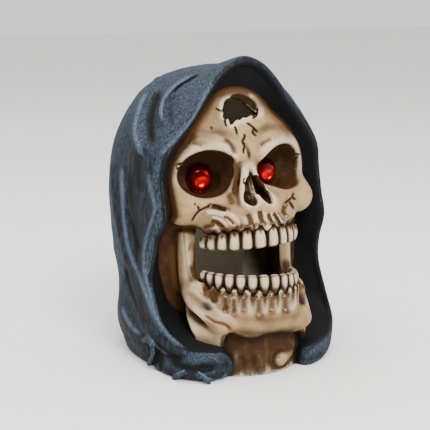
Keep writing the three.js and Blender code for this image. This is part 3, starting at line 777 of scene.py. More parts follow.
    def distance(self, points: Array) -> Array:
        """Gives the distance of each point to the cloth, negative inside.

        Args:
            points: The places, in millimetres.

        Returns:
            The distances, negative inside.
        """
        offset = points - self.middle
        radius = np.linalg.norm(offset, axis=1) + 1e-6
        across = np.hypot(offset[:, 0], offset[:, 2])
        round_face = np.arctan2(offset[:, 0], offset[:, 2])
        opening = np.arctan2(across, -offset[:, 1])
        skin, lean = (self._read(table, round_face, opening) for table in (self.radius, self.lean))
        outer = (radius - skin) * lean
        rim_opening, rim_across, rim_y, oval = (
            np.interp(round_face, self.rim_at, v)
            for v in (self.rim_opening, self.rim_across, self.rim_y, self.oval_across))
        in_front = (rim_opening - opening) * radius
        cloth = meet(outer, in_front - self.lip_lap, self.lip_rounding)
        start = rim_y + self.lip_set_back
        length = np.maximum(self.recess_back - start, self.recess_least)
        depth = np.clip((points[:, 1] - start) / length, 0.0, 1.0)
        opening_wall = (rim_across - self.lip_width) * (1 - depth) + oval * depth
        recess = meet((across - opening_wall) * 0.9, points[:, 1] - self.recess_back, self.recess_rounding)
        cloth = self.hem.distance(points, meet(cloth, -recess, self.lip_rounding))
        near = np.nonzero(np.abs(cloth) < self.drawn_reach)[0]
        if len(near):
            cloth[near] += self.drawing.read(points[near])[0]
        return cloth

    @staticmethod
    def _hem() -> Clay:
        """Models the hem's gathered corners, where the cloth lies on the ground in front.

        Returns:
            The strokes that are made on the cloth.
        """
        clay = Clay()
        clay.add(Trail(((53, -36, 4), (46, -45, 4), (36, -53, 4), (27, -56.5, 4)), (5.5, 5.5, 5.8, 6)), 6.0)
        clay.add(Trail(((-52, -24, 3), (-50, -37, 5), (-44, -46.5, 6), (-37, -52, 6.5), (-29.5, -52, 6.5),
                        (-25, -49, 5)), (5, 5.5, 6.5, 6.5, 6, 5)), 4.0)
        clay.carve(Trail(((-44, -55, 10.5), (-36, -60.5, 10), (-28.5, -60, 9)), (2.2, 3.4, 2.6)), 2.0)
        clay.add(Trail(((-54, -41, 0), (-51.5, -47.5, 6), (-47, -52, 7.5), (-42.5, -56.5, 3.5),
                        (-40, -58, 0)), (1.4, 1.6, 1.6, 1.3, 1)), 1.5)
        clay.carve(Ball((-48.8, -54, 1.5), (4, 4, 2.8)), 1.0)
        clay.carve(Trail(((-59.5, -27, 17), (-58.5, -28.5, 10), (-57.5, -29, 3)), (2.4, 3, 2.4)), 1.5)
        clay.add(Trail(((-59.5, -13, 15.5), (-59.5, -20, 18.5), (-58.8, -24.5, 15.5), (-58.3, -23.5, 9),
                        (-58.6, -19, 3)), (1.6, 1.8, 1.8, 1.8, 1.6)), 1.5)
        clay.carve(Ball((-62, -18.5, 12.5), (2.8, 3.4, 3.8)), 1.0)
        return clay

    def depth_inside(self, points: Array) -> Array:
        """Tells how far points lie behind the rim, inside the opening; negative on the outside.

        Args:
            points: The places, in millimetres.

        Returns:
            The depths behind the rim.
        """
        offset = points - self.middle
        round_face = np.arctan2(offset[:, 0], offset[:, 2])
        across = np.hypot(offset[:, 0], offset[:, 2])
        rim_across, rim_y = (np.interp(round_face, self.rim_at, v) for v in (self.rim_across, self.rim_y))
        behind = points[:, 1] - rim_y
        opening = np.arctan2(across, -offset[:, 1])
        buried = self._read(self.radius, round_face, opening) - np.linalg.norm(offset, axis=1)
        inside = (across < rim_across - 0.25 * self.lip_width) & (buried > self.skin_depth)
        return np.where(inside, np.maximum(behind, 0.0), -3.0)

    def _read(self, table: Array, round_face: Array, opening: Array) -> Array:
        """Reads a table of directions with straight lines between its entries.

        Args:
            table: One row for each direction round the face.
            round_face: The angles round the face.
            opening: The angles from the front.

        Returns:
            The value at each pair of angles.
        """
        u = (round_face + np.pi) / (2 * np.pi) * self.columns
        v = opening / np.pi * self.rows
        i = np.clip(u.astype(int), 0, self.columns - 1)
        j = np.clip(v.astype(int), 0, self.rows - 1)
        du, dv = u - i, v - j
        low = table[i, j] * (1 - dv) + table[i, j + 1] * dv
        high = table[i + 1, j] * (1 - dv) + table[i + 1, j + 1] * dv
        return low * (1 - du) + high * du


# Skull

@dataclass
class SkullHead:
    """The upper skull: vault, brow, sockets, nose, cheeks and upper gums."""

    body_blend: float = 7.0
    socket_centre: Triple = (25.6, -31, 115.6)
    socket_radii: Triple = (17.5, 18.8, 13.6)
    socket_droop: float = 10.0
    hole_outline: Sequence[Pair] = (
        (-10, 152.5), (-9.3, 155.2), (-7.4, 157), (-3.5, 157.6), (0.5, 156.8), (4, 155), (7, 152.3),
        (9.6, 149.8), (12.4, 147), (10.5, 145.4), (8.2, 146), (5.6, 144.6), (2.8, 145), (1, 143.4),
        (-0.8, 144), (-2.6, 143.2), (-4.2, 141.6), (-5.7, 141.4), (-6.3, 143.4), (-7.2, 145),
        (-8.6, 144.6), (-10.4, 146.1), (-10, 148.5), (-11, 150),
    )
    hole_front: float = -44.0
    hole_back: float = 2.0
    hole_slant: Pair = (0.5, -0.2)
    hole_skin_y: float = -22.0

    def __post_init__(self) -> None:
        """Models the body and what is cut out of it."""
        self.body = Clay()
        self.cuts = Clay()
        self._shape_body(self.body, self.body_blend)
        self._shape_nose(self.body)
        self._cut(self.cuts)

    def distance(self, points: Array) -> Array:
        """Gives the distance of each point to the upper skull, negative inside."""
        return self.cuts.distance(points, self.body.distance(points))

    @staticmethod
    def _shape_body(clay: Clay, wide: float) -> None:
        """Puts the main forms together.

        Args:
            clay: The clay that they are put on.
            wide: The blend of the largest forms.
        """
        clay.add(Ball((0, 8, 121), (46, 38.5, 50)), wide)
        clay.add(Ball((0, 30, 118), (42, 30, 40)), wide)
        clay.add(Ball((0, -4, 106), (43, 30, 34)), wide)
        clay.add(Ball((26, -11, 129), (19, 14, 16)), 6.0, both=True)
        clay.add(Trail(((5.5, -28.5, 126), (15, -29.8, 130.5), (27, -26, 131), (37, -20.5, 125),
                        (41, -18.5, 117), (41.2, -19, 109), (40.5, -22, 102)),
                       (6, 6, 6, 6.2, 6.2, 6, 6)), 4.5, both=True)
        clay.add(Trail(((4.5, -31.5, 124), (9.5, -32.5, 125.8), (14, -32, 129)), (4.2, 4, 3.5)), 3.0,
                 both=True)
        clay.add(Ball((38.3, -24, 96), (11.2, 13, 10.5)), 5.0, both=True)
        clay.add(Trail(((36, -28, 96), (23, -33, 96.5), (12, -29.5, 106)), (8, 7.5, 4.5)), 5.0, both=True)
        clay.add(Ball((0, -29, 89), (30.5, 25.5, 16)), wide)
        clay.add(Trail(((0, -33, 101), (0, -45, 87)), (6, 8)), wide)
        clay.add(Trail(((29, -29, 93), (26, -33, 86)), (5.5, 5)), 5.0, both=True)

    @staticmethod
    def _shape_nose(clay: Clay) -> None:
        """Puts on the nose bone, the walls of the nose opening and its spine.

        Args:
            clay: The clay that they are put on.
        """
        clay.add(Trail(((0, -26, 123), (0, -33, 118.5)), (3.6, 3.4)), 3.0)
        clay.add(Trail(((-2, -30, 121.5), (-4.2, -36.4, 113), (-7.8, -39.5, 105), (-9.8, -41, 98)),
                       (2.8, 2.6, 2.6, 2.8)), 2.5)
        clay.add(Trail(((2, -30, 121.5), (2.6, -36.2, 113), (6.8, -39.5, 105), (9.6, -41, 98)),
                       (2.6, 2.1, 2.3, 2.8)), 2.5)
        clay.add(Trail(((-9.5, -26, 124), (-12, -28.5, 115), (-14.5, -33, 105)), 2.5), 3.0)
        clay.add(Trail(((6, -26, 124), (7, -28.5, 115), (12, -33, 105)), 2.0), 3.0)
        clay.add(Ball((0.8, -41, 97), (4, 4, 3)), 2.5)

    def _cut(self, clay: Clay) -> None:
        """Cuts the sockets, the nose and the hole.

        Args:
            clay: The clay that takes the cuts.
        """
        clay.carve(Ball(self.socket_centre, self.socket_radii, (0, self.socket_droop, 0)), 1.2, both=True)
        clay.carve(Ball((5.4, -38, 100.6), (4.6, 13, 5.2)), 0.8, both=True)
        clay.carve(Ball((3.9, -36, 106), (3.6, 13, 7.5), (0, -14, 0)), 0.8, both=True)
        clay.carve(Ball((1.2, -42, 107.5), (3, 7, 4.5)), 0.8)
        clay.add(Trail(((1, -30, 114), (1.2, -34.5, 107), (1.2, -40, 98)), (2.4, 1.6, 1.6)), 1.2)
        clay.carve(Ball((15.5, -29, 114.5), (9, 14, 10)), 1.2)
        clay.carve(Ball((22.3, -19.5, 110), (10.4, 8, 10.4)), 1.0, both=True)
        hole = Prism(self.hole_outline, self.hole_front, self.hole_back, self.hole_slant, self.hole_skin_y)
        clay.carve(hole, 0.5)
        clay.carve(Ball((5.5, -19, 153), (9.5, 5.5, 6), (0, 22, 0)), 0.7)


@dataclass
class LowerJaw:
    """The lower jaw: a bone plate round the arch, from the chin up to the cheeks."""

    roll: float = 0.1
    low_centre: float = -12.0
    low_half: Pair = (46.5, 50.0)
    top_centre: float = -31.0
    top_half: Pair = (33.5, 29.5)
    side_half: float = 38.5
    wall: float = 7.5
    right_border: Sequence[Pair] = (
        (-90, 66), (-86, 60), (-80, 49), (-73, 38.7), (-67, 27.5), (-63.5, 23.5), (-58, 17), (-52.5, 9.5),
        (-47, 6.2), (-42, 6.5), (-38.5, 10), (-36, 19), (-33, 25.5), (-27, 23), (-19, 21.5), (-11, 22),
        (-5, 24.5),
    )
    left_border: Sequence[Pair] = (
        (0, 25), (8, 25), (14, 24), (20, 22.5), (33, 21.5), (40, 20.5), (46, 13), (51, 7), (56, 4),
        (62, 4), (66, 8), (70, 18), (75, 34), (82, 52), (90, 66),
    )
    crest: Sequence[Pair] = (
        (0, 50.5), (52, 50.5), (60, 50.5), (66, 53), (71, 63), (75, 84), (80, 89), (90, 89),
    )
    back: float = -9.0
    degree: float = 0.7
    side_angles: Pair = (48.0, 72.0)
    waist_heights: Pair = (21.0, 34.0)
    narrow_heights: Pair = (18.0, 46.0)
    wall_rounding: float = 2.0
    low_rounding: float = 3.0
    top_rounding: float = 2.5

    def __post_init__(self) -> None:
        """Prepares the plate's lower and upper edge."""
        self.low_edge = Curve(*zip(*self.right_border, *self.left_border))
        self.top_edge = Curve(*zip(*self.crest))
        self.turns = np.linspace(-90.0, 90.0, 361)
        self.low_lean = self._lean(self.low_edge(self.turns))
        self.top_lean = self._lean(self.top_edge(np.abs(self.turns)))

    def _lean(self, heights: Array) -> Array:
        """Gives the share of a height over an edge that is the true distance, where the edge climbs."""
        climb = np.gradient(heights, self.turns) / self.degree
        return 1.0 / np.sqrt(1.0 + climb**2)

    def build(self) -> Clay:
        """Models what is added to the bone plate.

        Returns:
            The clay, without the roll to one side.
        """
        clay = Clay()
        clay.add(Trail(((31.5, -17.5, 88), (32, -18, 72), (32.8, -19, 56), (34, -21.5, 42)),
                       (5.9, 5.6, 5.6, 5)), 2.0, both=True)
        clay.add(Trail(((34, -24, 44), (37.5, -32, 38), (36, -41, 34), (30.5, -49, 30)),
                       (4.5, 3, 3, 3)), 5.0, both=True)
        clay.add(Trail(((-24, -49.5, 29.5), (-8, -56.2, 29.5), (8, -56.2, 29.5), (24, -49.5, 28.5)),
                       6.2), 12.0)
        clay.add(Slab((41, -11, 56), (7, 3.4, 33), 3), 3.0)
        clay.add(Slab((-41, -12, 48.5), (9.5, 4, 40.5), 3), 3.0)
        clay.add(Ball((33, -34, 43), (6, 9, 8)), 6.0, both=True)
        return clay

    def distance(self, points: Array) -> Array:
        """Gives the distance of each point to the bone plate, negative inside.

        Args:
            points: The places, in millimetres.

        Returns:
            The distances, negative inside.
        """
        x = np.abs(points[:, 0])
        y = points[:, 1]
        z = points[:, 2] + self.roll * points[:, 0]
        angle = np.degrees(np.arctan2(x / self.low_half[0], -(y - self.low_centre) / self.low_half[1]))
        beside = rise(*self.side_angles, angle)
        share = rise(*self.waist_heights, z) * (1.0 - beside)
        centre = self.low_centre + (self.top_centre - self.low_centre) * share
        narrow = (self.low_half[0] - self.side_half) * rise(*self.narrow_heights, z) * beside
        outer = self._oval(x, y - centre, share, narrow, 0.0)
        inner = self._oval(x, y - centre, share, narrow, self.wall)
        plate = meet(outer, -inner, self.wall_rounding)
        signed = np.where(points[:, 0] < 0, -angle, angle)
        low_lean = np.interp(signed, self.turns, self.low_lean)
        top_lean = np.interp(signed, self.turns, self.top_lean)
        plate = meet(plate, (self.low_edge(signed) - z) * low_lean, self.low_rounding)
        plate = meet(plate, (z - self.top_edge(angle)) * top_lean, self.top_rounding)
        return np.maximum(plate, y - self.back)

    def _oval(self, x: Array, y: Array, share: Array, narrow: Array, inset: float) -> Array:
        """Measures the arch's outline at the height that share stands for.

        Args:
            x: The distances from the middle plane.
            y: The distances behind the arch's centre.
            share: How far the arch has narrowed, from 0 below to 1 above.
            narrow: How much its sides are drawn in.
            inset: How far inside the outline to measure.

        Returns:
            The distances, negative inside.
        """
        half_x = self.low_half[0] + (self.top_half[0] - self.low_half[0]) * share - narrow - inset
        half_y = self.low_half[1] + (self.top_half[1] - self.low_half[1]) * share - inset
        scaled = np.sqrt((x / half_x) ** 2 + (y / half_y) ** 2)
        steep = np.sqrt((x / half_x**2) ** 2 + (y / half_y**2) ** 2) + 1e-6
        return scaled * (scaled - 1.0) / steep


@dataclass
class ToothRow:
    """A row of teeth on an arch that is half an ellipse."""

    widths: Sequence[float]
    arch_y: float
    arch_half: Pair
    tip: float
    end_rise: float
    height: float
    flare: float
    thickness: float
    tip_width: float
    gum_width: float
    shorter: float
    roll: float = 0.0
    gap: float = 0.03
    roundness: float = 2.4
    tip_rounding: float = 1.3
    near: float = 12.0
    margin: float = 6.0

    def __post_init__(self) -> None:
        """Places each tooth along the arch."""
        self.teeth: list[tuple[Array, Array, Array, float, float, float]] = []
        edge = 0.0
        for width in self.widths:
            middle = edge + width / 2 / self._speed(edge)
            edge = middle + width / 2 / self._speed(middle)
            for angle in (middle, -middle):
                self.teeth.append(self._place(angle, width))
        gum = self.gum_width
        self.width_along = Curve((0.0, 0.3, 0.65, 0.88, 1.0), (self.tip_width, 1.0, gum, 0.66, 0.2))
        self.depth_along = Curve((0.0, 0.4, 1.0), (0.62, 1.0, 0.9))
        reach = max(self.arch_half) + self.thickness
        z = sorted((self.tip, self.tip + self.height))
        self.low = np.array([-reach, self.arch_y - self.arch_half[1] - 6, z[0] - 5]) - self.margin
        self.high = np.array([reach, self.arch_y + 6, z[1] + 5]) + self.margin

    def _speed(self, angle: float) -> float:
        """Gives the arch's length for each radian at an angle."""
        return math.hypot(self.arch_half[0] * math.cos(angle), self.arch_half[1] * math.sin(angle))

    def _place(self, angle: float, width: float) -> tuple[Array, Array, Array, float, float, float]:
        """Works out where a tooth stands and how it leans.

        Args:
            angle: The tooth's place on the arch, in radians from the front.
            width: Its width.

        Returns:
            Its foot, outward and sideways directions, width, lean and length.
        """
        s, c = math.sin(angle), math.cos(angle)
        outward = np.array([s / self.arch_half[0], -c / self.arch_half[1], 0.0])
        outward /= np.linalg.norm(outward)
        across = np.array([-outward[1], outward[0], 0.0])
        sideways = abs(angle) / (math.pi / 2)
        foot = np.array([self.arch_half[0] * s, self.arch_y - self.arch_half[1] * c,
                         self.tip + self.end_rise * sideways])
        foot[2] -= self.roll * foot[0]
        length = abs(self.height) * (1.0 - self.shorter * sideways**1.5)
        return foot, outward, across, width, self.flare * c, length

    def distance(self, points: Array) -> Array:
        """Gives the distance of each point to the nearest tooth, negative inside.

        Args:
            points: The places, in millimetres.

        Returns:
            The distances, negative inside.
        """
        nearest = np.full(len(points), FAR)
        low, high = points.min(0), points.max(0)
        if (self.low > high).any() or (self.high < low).any():
            return nearest
        way = math.copysign(1.0, self.height)
        for foot, outward, across, width, lean, length in self.teeth:
            offset = points - foot
            close = (np.abs(offset[:, 0]) < self.near) & (np.abs(offset[:, 1]) < self.near)
            if not close.any():
                continue
            spots = np.nonzero(close)[0]
            offset = offset[spots]
            up = offset[:, 2] * way
            share = np.clip(up / length, -0.1, 1.2)
            side = offset @ across
            out = offset @ outward + lean * share
            half = width * (1.0 - self.gap) / 2 * self.width_along(share)
            deep = self.thickness * 0.55 * self.depth_along(share)
            power = self.roundness
            scaled = ((np.abs(side) / half) ** power + (np.abs(out) / deep) ** power) ** (1 / power)
            peg = (scaled - 1.0) * np.minimum(half, deep) * 0.9
            peg = np.maximum(meet(peg, -up, self.tip_rounding), up - length)
            nearest[spots] = np.minimum(nearest[spots], peg)
        return nearest


@dataclass
class NeckFoot:
    """The round foot of the neck, with its bones and knob."""

    centre_y: float = -22.0
    base_radius: float = 39.5
    top_radius: float = 31.0
    top: float = 36.0
    top_rounding: float = 3.0
    rib_places: Sequence[float] = (-20.0, -13.5, -7.0)
    rib_depth: float = 2.5

    def build(self) -> Clay:
        """Models the bones of the neck.

        Returns:
            The clay.
        """
        clay = Clay()
        for x in self.rib_places:
            y = self.centre_y - math.sqrt((self.base_radius - self.rib_depth) ** 2 - x * x)
            clay.add(Trail(((x, y, 1), (x, y + 0.5, 11)), (2.9, 2.4)), 0.8)
        clay.add(Trail(((5.8, -59, 7.5), (14, -56, 9), (20, -50, 12)), (5.2, 3.6, 3.4)), 1.5)
        clay.carve(Ball((3.5, -64, 9.5), (1.6, 1.6, 1.2)), 0.5)
        return clay

    def distance(self, points: Array) -> Array:
        """Gives the distance of each point to the foot, negative inside.

        Args:
            points: The places, in millimetres.

        Returns:
            The distances, negative inside.
        """
        share = np.clip(points[:, 2] / self.top, 0.0, 1.0)
        radius = self.base_radius + (self.top_radius - self.base_radius) * share
        side = np.hypot(points[:, 0], points[:, 1] - self.centre_y) - radius
        return meet(side, points[:, 2] - self.top, self.top_rounding)


@dataclass
class Hollow:
    """The empty inside of the casting, open underneath."""

    plan: Rows = (
        (-6, 1, 46, 45), (20, 1, 52, 47.5), (60, 1, 54.5, 49.5), (100, 1, 59.5, 52.5),
        (120, -1, 57.5, 50.5), (134, -10, 53, 45), (146, -13, 49, 39), (156, -8, 43, 30), (165, 4, 33, 17),
    )
    squareness: float = 2.0
    top_rounding: float = 4.0
    shaft_y: float = -20.0
    shaft_reach: float = 60.0
    shaft_rounding: float = 2.0
    throat: Rows = ((-6, 31, 32), (22, 29, 28.5), (52, 28, 29))
    mouth: Rows = ((50, 29, 31), (79, 29, 31))

    def __post_init__(self) -> None:
        """Prepares the curves."""
        self.plan_curve = stacked(self.plan)
        self.shafts = [(rings[0][0], rings[-1][0], stacked(rings)) for rings in (self.throat, self.mouth)]

    def distance(self, points: Array) -> Array:
        """Gives the distance of each point to the empty space, negative inside it.

        Args:
            points: The places, in millimetres.

        Returns:
            The distances, negative inside.
        """
        z = points[:, 2]
        front, back, half = self.plan_curve(z)
        space = self._tube(points, (front + back) / 2, half, (back - front) / 2, self.squareness)
        space = meet(space, z - self.plan[-1][0], self.top_rounding)
        if points[:, 1].min() > self.shaft_y + self.shaft_reach:
            return space
        for foot, top, curve in self.shafts:
            half_x, half_y = curve(z)
            shaft = self._tube(points, self.shaft_y, half_x, half_y, 2.0)
            shaft = meet(shaft, np.maximum(foot - z, z - top), self.shaft_rounding)
            space = union(space, shaft, self.shaft_rounding)
        return space

    @staticmethod
    def _tube(points: Array, centre_y: Array | float, half_x: Array, half_y: Array, power: float) -> Array:
        """Measures an upright tube with an oval plan.

        Args:
            points: The places, in millimetres.
            centre_y: The tube's middle.
            half_x: Its half width at each point.
            half_y: Its half depth at each point.
            power: 2 for an oval, and more for a squarer plan.

        Returns:
            The distances, negative inside.
        """
        x = np.abs(points[:, 0]) / half_x
        y = np.abs(points[:, 1] - centre_y) / half_y
        scaled = (x**power + y**power) ** (1 / power)
        return (scaled - 1.0) * np.minimum(half_x, half_y)


# Skin

# A grid cell's corners and edges, and how grid steps are packed into one number
CORNERS = np.array([[i, j, k] for i in (0, 1) for j in (0, 1) for k in (0, 1)])
EDGES = [(a, b) for a in range(8) for b in range(a + 1, 8) if np.abs(CORNERS[a] - CORNERS[b]).sum() == 1]
KEY_SPAN = 2048
KEY_PAD = 8


@dataclass
class SkinMesher:
    """Turns a distance field into a closed mesh by refining only the cells near its skin."""

    low: Triple = (-72.0, -80.0, -3.0)
    high: Triple = (72.0, 88.0, 187.0)
    cell: float = 0.6
    halvings: int = 3
    coarse_reach: float = 1.7
    fine_reach: float = 1.5
    block: float = 20.0
    first_block: float = -200.0
    most_blocks: int = 1000

    def blocks(self, points: Array) -> list[Array]:
        """Sorts points into blocks, so that a field passes over what is far from a whole block.

        Args:
            points: Any number of places.

        Returns:
            The numbers of the points in each block.
        """
        steps = np.floor((points - self.first_block) / self.block).astype(np.int64)
        keys = (steps[:, 0] * self.most_blocks + steps[:, 1]) * self.most_blocks + steps[:, 2]
        order = np.argsort(keys, kind="stable")
        return np.split(order, np.nonzero(np.diff(keys[order]))[0] + 1)

    def evaluate(self, measure: Callable[[Array], Array], points: Array) -> Array:
        """Measures many points, block by block.

        Args:
            measure: The distance field.
            points: Any number of places.

        Returns:
            The field's value at each place.
        """
        values = np.empty(len(points))
        for spots in self.blocks(points):
            values[spots] = measure(points[spots])
        return values

    def build(self, measure: Callable[[Array], Array]) -> tuple[Array, Array]:
        """Finds the skin of a field.

        Args:
            measure: The distance field, negative inside.

        Returns:
            The skin's points and its four-sided faces.
        """
        cells = self._cells_near_skin(measure)
        keys = self._key(cells[:, None, :] + CORNERS[None])
        spots, where = np.unique(keys.ravel(), return_inverse=True)
        values = self.evaluate(measure, self._place(self._unkey(spots)))
        at_corners = values[where].reshape(-1, len(CORNERS))
        inside = at_corners < 0
        crossed = inside.any(1) & ~inside.all(1)
        cells, at_corners, inside = cells[crossed], at_corners[crossed], inside[crossed]
        order = np.argsort(self._key(cells))
        cells, at_corners, inside = cells[order], at_corners[order], inside[order]
        total = np.zeros((len(cells), 3))
        count = np.zeros(len(cells))
        for a, b in EDGES:
            cut = inside[:, a] != inside[:, b]
            t = at_corners[cut, a] / (at_corners[cut, a] - at_corners[cut, b])
            total[cut] += CORNERS[a] + t[:, None] * (CORNERS[b] - CORNERS[a])
            count[cut] += 1
        points = self._place(cells + total / count[:, None])
        return points, self._faces(cells, inside)

    def _faces(self, cells: Array, inside: Array) -> Array:
        """Joins the points of the four cells round each crossed grid edge.

        Args:
            cells: The grid steps of the cells that the skin crosses.
            inside: Which of each cell's corners lie inside.

        Returns:
            The four-sided faces.
        """
        keys = self._key(cells)
        faces = []
        for next_corner, u, v in ((4, 1, 2), (2, 2, 0), (1, 0, 1)):
            cut = np.nonzero(inside[:, 0] != inside[:, next_corner])[0]
            steps = np.zeros((4, 3), np.int64)
            steps[1, u] = steps[2, u] = -1
            steps[2, v] = steps[3, v] = -1
            wanted = self._key(cells[cut][:, None, :] + steps[None])
            ring = np.minimum(np.searchsorted(keys, wanted), len(keys) - 1)
            found = (keys[ring] == wanted).all(1)
            ring, starts_inside = ring[found], inside[cut, 0][found]
            faces.append(np.where(starts_inside[:, None], ring, ring[:, ::-1]))
        return np.concatenate(faces)

    def _cells_near_skin(self, measure: Callable[[Array], Array]) -> Array:
        """Halves the cells near the skin until they have the fine size.

        Args:
            measure: The distance field.

        Returns:
            The grid steps of the fine cells.
        """
        size = 2**self.halvings
        counts = [int(math.ceil((h - l) / (self.cell * size))) for l, h in zip(self.low, self.high)]
        cells = np.stack(np.meshgrid(*(np.arange(n) for n in counts), indexing="ij"), axis=-1)
        cells = cells.reshape(-1, 3) * size
        while True:
            reach = self.cell * size * (self.coarse_reach if size > 1 else self.fine_reach)
            values = self.evaluate(measure, self._place(cells + size / 2))
            cells = cells[np.abs(values) < reach]
            if size == 1:
                return cells
            size //= 2
            cells = (cells[:, None, :] + CORNERS[None] * size).reshape(-1, 3)

    def _place(self, grid: Array) -> Array:
        """Gives the places of grid steps."""
        return np.asarray(self.low) + grid * self.cell

    @staticmethod
    def _key(grid: Array) -> Array:
        """Packs three grid steps into one whole number."""
        shifted = grid.astype(np.int64) + KEY_PAD
        return (shifted[..., 0] * KEY_SPAN + shifted[..., 1]) * KEY_SPAN + shifted[..., 2]

    @staticmethod
    def _unkey(keys: Array) -> Array:
        """Unpacks the whole numbers of _key."""
        steps = [keys // KEY_SPAN**2, keys // KEY_SPAN % KEY_SPAN, keys % KEY_SPAN]
        return np.stack(steps, axis=-1) - KEY_PAD


@dataclass
class Casting:
    """The whole casting: hood and skull in one, hollow, with the paint's guides."""

    triangles: int = 190000
    moat: float = 0.55
    moat_rounding: float = 0.4
    tooth_blend: float = 0.15
    jaw_blend: float = 2.5
    neck_blend: float = 1.5
    cheek_blend: float = 1.2
    chin_blend: float = 1.0
    cloth_blend: float = 0.8
    wall_rounding: float = 1.2
    drawn_reach: float = 3.0
    drawn_back: float = 0.0
    fine_reach: float = 1.1
    broad_reach: float = 4.5
    mouth_stain: float = 0.35
    jaw_height: float = 92.0
    hood: HoodCloth = field(default_factory=HoodCloth)
    jaw: LowerJaw = field(default_factory=LowerJaw)
    neck: NeckFoot = field(default_factory=NeckFoot)
    hollow: Hollow = field(default_factory=Hollow)

    def __post_init__(self) -> None:
        """Models the parts."""
        self.head = SkullHead()
        self.face_lines = Drawing([*CRACKS, *CHIPS, *FURROWS, *WRINKLES, *ROOTS, *STAINS])
        self.jaw_clay = self.jaw.build()
        self.neck_clay = self.neck.build()
        self.upper = ToothRow(
            widths=(8.6, 7.4, 7.2, 6.8, 6.2, 5.6), arch_y=-31, arch_half=(30.5, 23.2), tip=74.4,
            end_rise=-1.6, height=12.5, flare=2.6, thickness=5.4, tip_width=0.94, gum_width=0.88,
            shorter=0.5)
        self.lower = ToothRow(
            widths=(7.2, 6.8, 6.5, 6.2, 5.8, 5.4, 5), arch_y=-31, arch_half=(30.6, 26), tip=58.4,
            end_rise=-2.0, height=-11.5, flare=0.4, thickness=5.2, tip_width=0.98, gum_width=0.88,
            shorter=0.35, roll=self.jaw.roll)

    def skull(self, points: Array) -> Array:
        """Measures everything that is bone but the teeth.

        Args:
            points: The places, in millimetres.

        Returns:
            The distances, negative inside.
        """
        head = self.head.distance(points)
        rolled = points.copy()
        rolled[:, 2] += self.jaw.roll * points[:, 0]
        jaw = union(self.jaw.distance(points), self.jaw_clay.distance(rolled), self.jaw_blend)
        neck = union(self.neck.distance(points), self.neck_clay.distance(points), self.neck_blend)
        bone = union(union(head, jaw, self.cheek_blend), neck, self.chin_blend)
        near = np.nonzero((np.abs(bone) < self.drawn_reach) & (points[:, 1] < self.drawn_back))[0]
        if len(near):
            bone[near] += self.face_lines.read(points[near])[0]
        return bone

    def teeth(self, points: Array) -> Array:
        """Measures both rows of teeth."""
        return np.minimum(self.upper.distance(points), self.lower.distance(points))

    def distance(self, points: Array) -> Array:
        """Measures the whole casting.

        Args:
            points: The places, in millimetres.

        Returns:
            The distances, negative inside.
        """
        body = union(self.hood.distance(points), self.skull(points), self.cloth_blend)
        body = meet(body, -self.hollow.distance(points), self.wall_rounding)
        teeth = self.teeth(points)
        body = union(meet(body, self.moat - teeth, self.moat_rounding), teeth, self.tooth_blend)
        return np.maximum(body, -points[:, 2])

    def guides(self, points: Array, normals: Array) -> dict[str, Array]:
        """Measures what the paint follows at each point of the skin.

        Args:
            points: The skin's points, near each other.
            normals: The way out at each point.

        Returns:
            One row of numbers for each named guide.
        """
        hood = self.hood.distance(points)
        skull = np.minimum(self.skull(points), self.teeth(points))
        inner = self.hollow.distance(points)
        mouth = self._mouth(points)
        # On the bone the drawn lines carry cracks and wash; on the cloth, dry-brush on ridges and painted
        # shade in valleys
        bone_ink, cloth_brush_and_shade = (lines.read(points)[1] for lines in (self.face_lines, self.hood.drawing))
        found = {
            "ink_and_valley_shade": np.where(skull < hood, bone_ink, cloth_brush_and_shade),
            "wash_and_shade": np.maximum(self._wash_and_shade(points, hood), self.mouth_stain * mouth),
            "cloth": np.where(mouth > 0.5, -3.0, np.clip(skull - hood, -3.0, 3.0)),
            "throat": self._throat(points),
            "inner": np.clip(inner, -1.0, 3.0),
            # Depth behind the rim, where painted shade darkens the hood's inside
            "lining": np.clip(self.hood.depth_inside(points), -3.0, 30.0),
            "upper_teeth": np.clip(self.upper.distance(points), -2.0, 4.0),
            "lower_teeth": np.clip(self.lower.distance(points), -2.0, 4.0),
        }
        for name, reach in (("fine", self.fine_reach), ("broad", self.broad_reach)):
            found[f"{name}_hollow"] = 1.0 - self.distance(points + normals * reach) / reach
            found[f"{name}_ridge"] = 1.0 + self.distance(points - normals * reach) / reach
        return found

    @staticmethod
    def _mouth(points: Array) -> Array:
        """Tells which points lie in the mouth, behind the jaw's columns.

        Args:
            points: The places, in millimetres.

        Returns:
            1 for a point in the mouth and 0 for any other.
        """
        x, y, z = np.abs(points[:, 0]), points[:, 1], points[:, 2]
        side = 28.0 + 6.0 * rise(-14.0, -11.0, y)
        return rise(0.0, -2.0, x - side) * rise(-31.0, -29.0, y) * rise(3.0, 1.0, y) * (z > 36) * (z < 92)

    @staticmethod
    def _throat(points: Array) -> Array:
        """Tells how brown the hollow's wall is near the mouth; elsewhere the wall keeps its pale painted
        light.
        """
        edge = points[:, 1] + 1.0 + 0.6 * (60.0 - points[:, 2])
        return rise(14.0, -3.0, edge) * (points[:, 2] > 30) * (points[:, 2] < 96)

    def painted(self, points: Array) -> Array:
        """Measures how strong the drawn lines' paint is at each point, on bone or cloth.

        Args:
            points: The places, in millimetres.

        Returns:
            The strengths.
        """
        near = points[:, 1] < self.drawn_back
        if not near.any():
            return np.abs(self.hood.drawing.read(points)[1])
        face = np.abs(self.face_lines.read(points)[1]) * near
        return np.maximum(face, np.abs(self.hood.drawing.read(points)[1]))

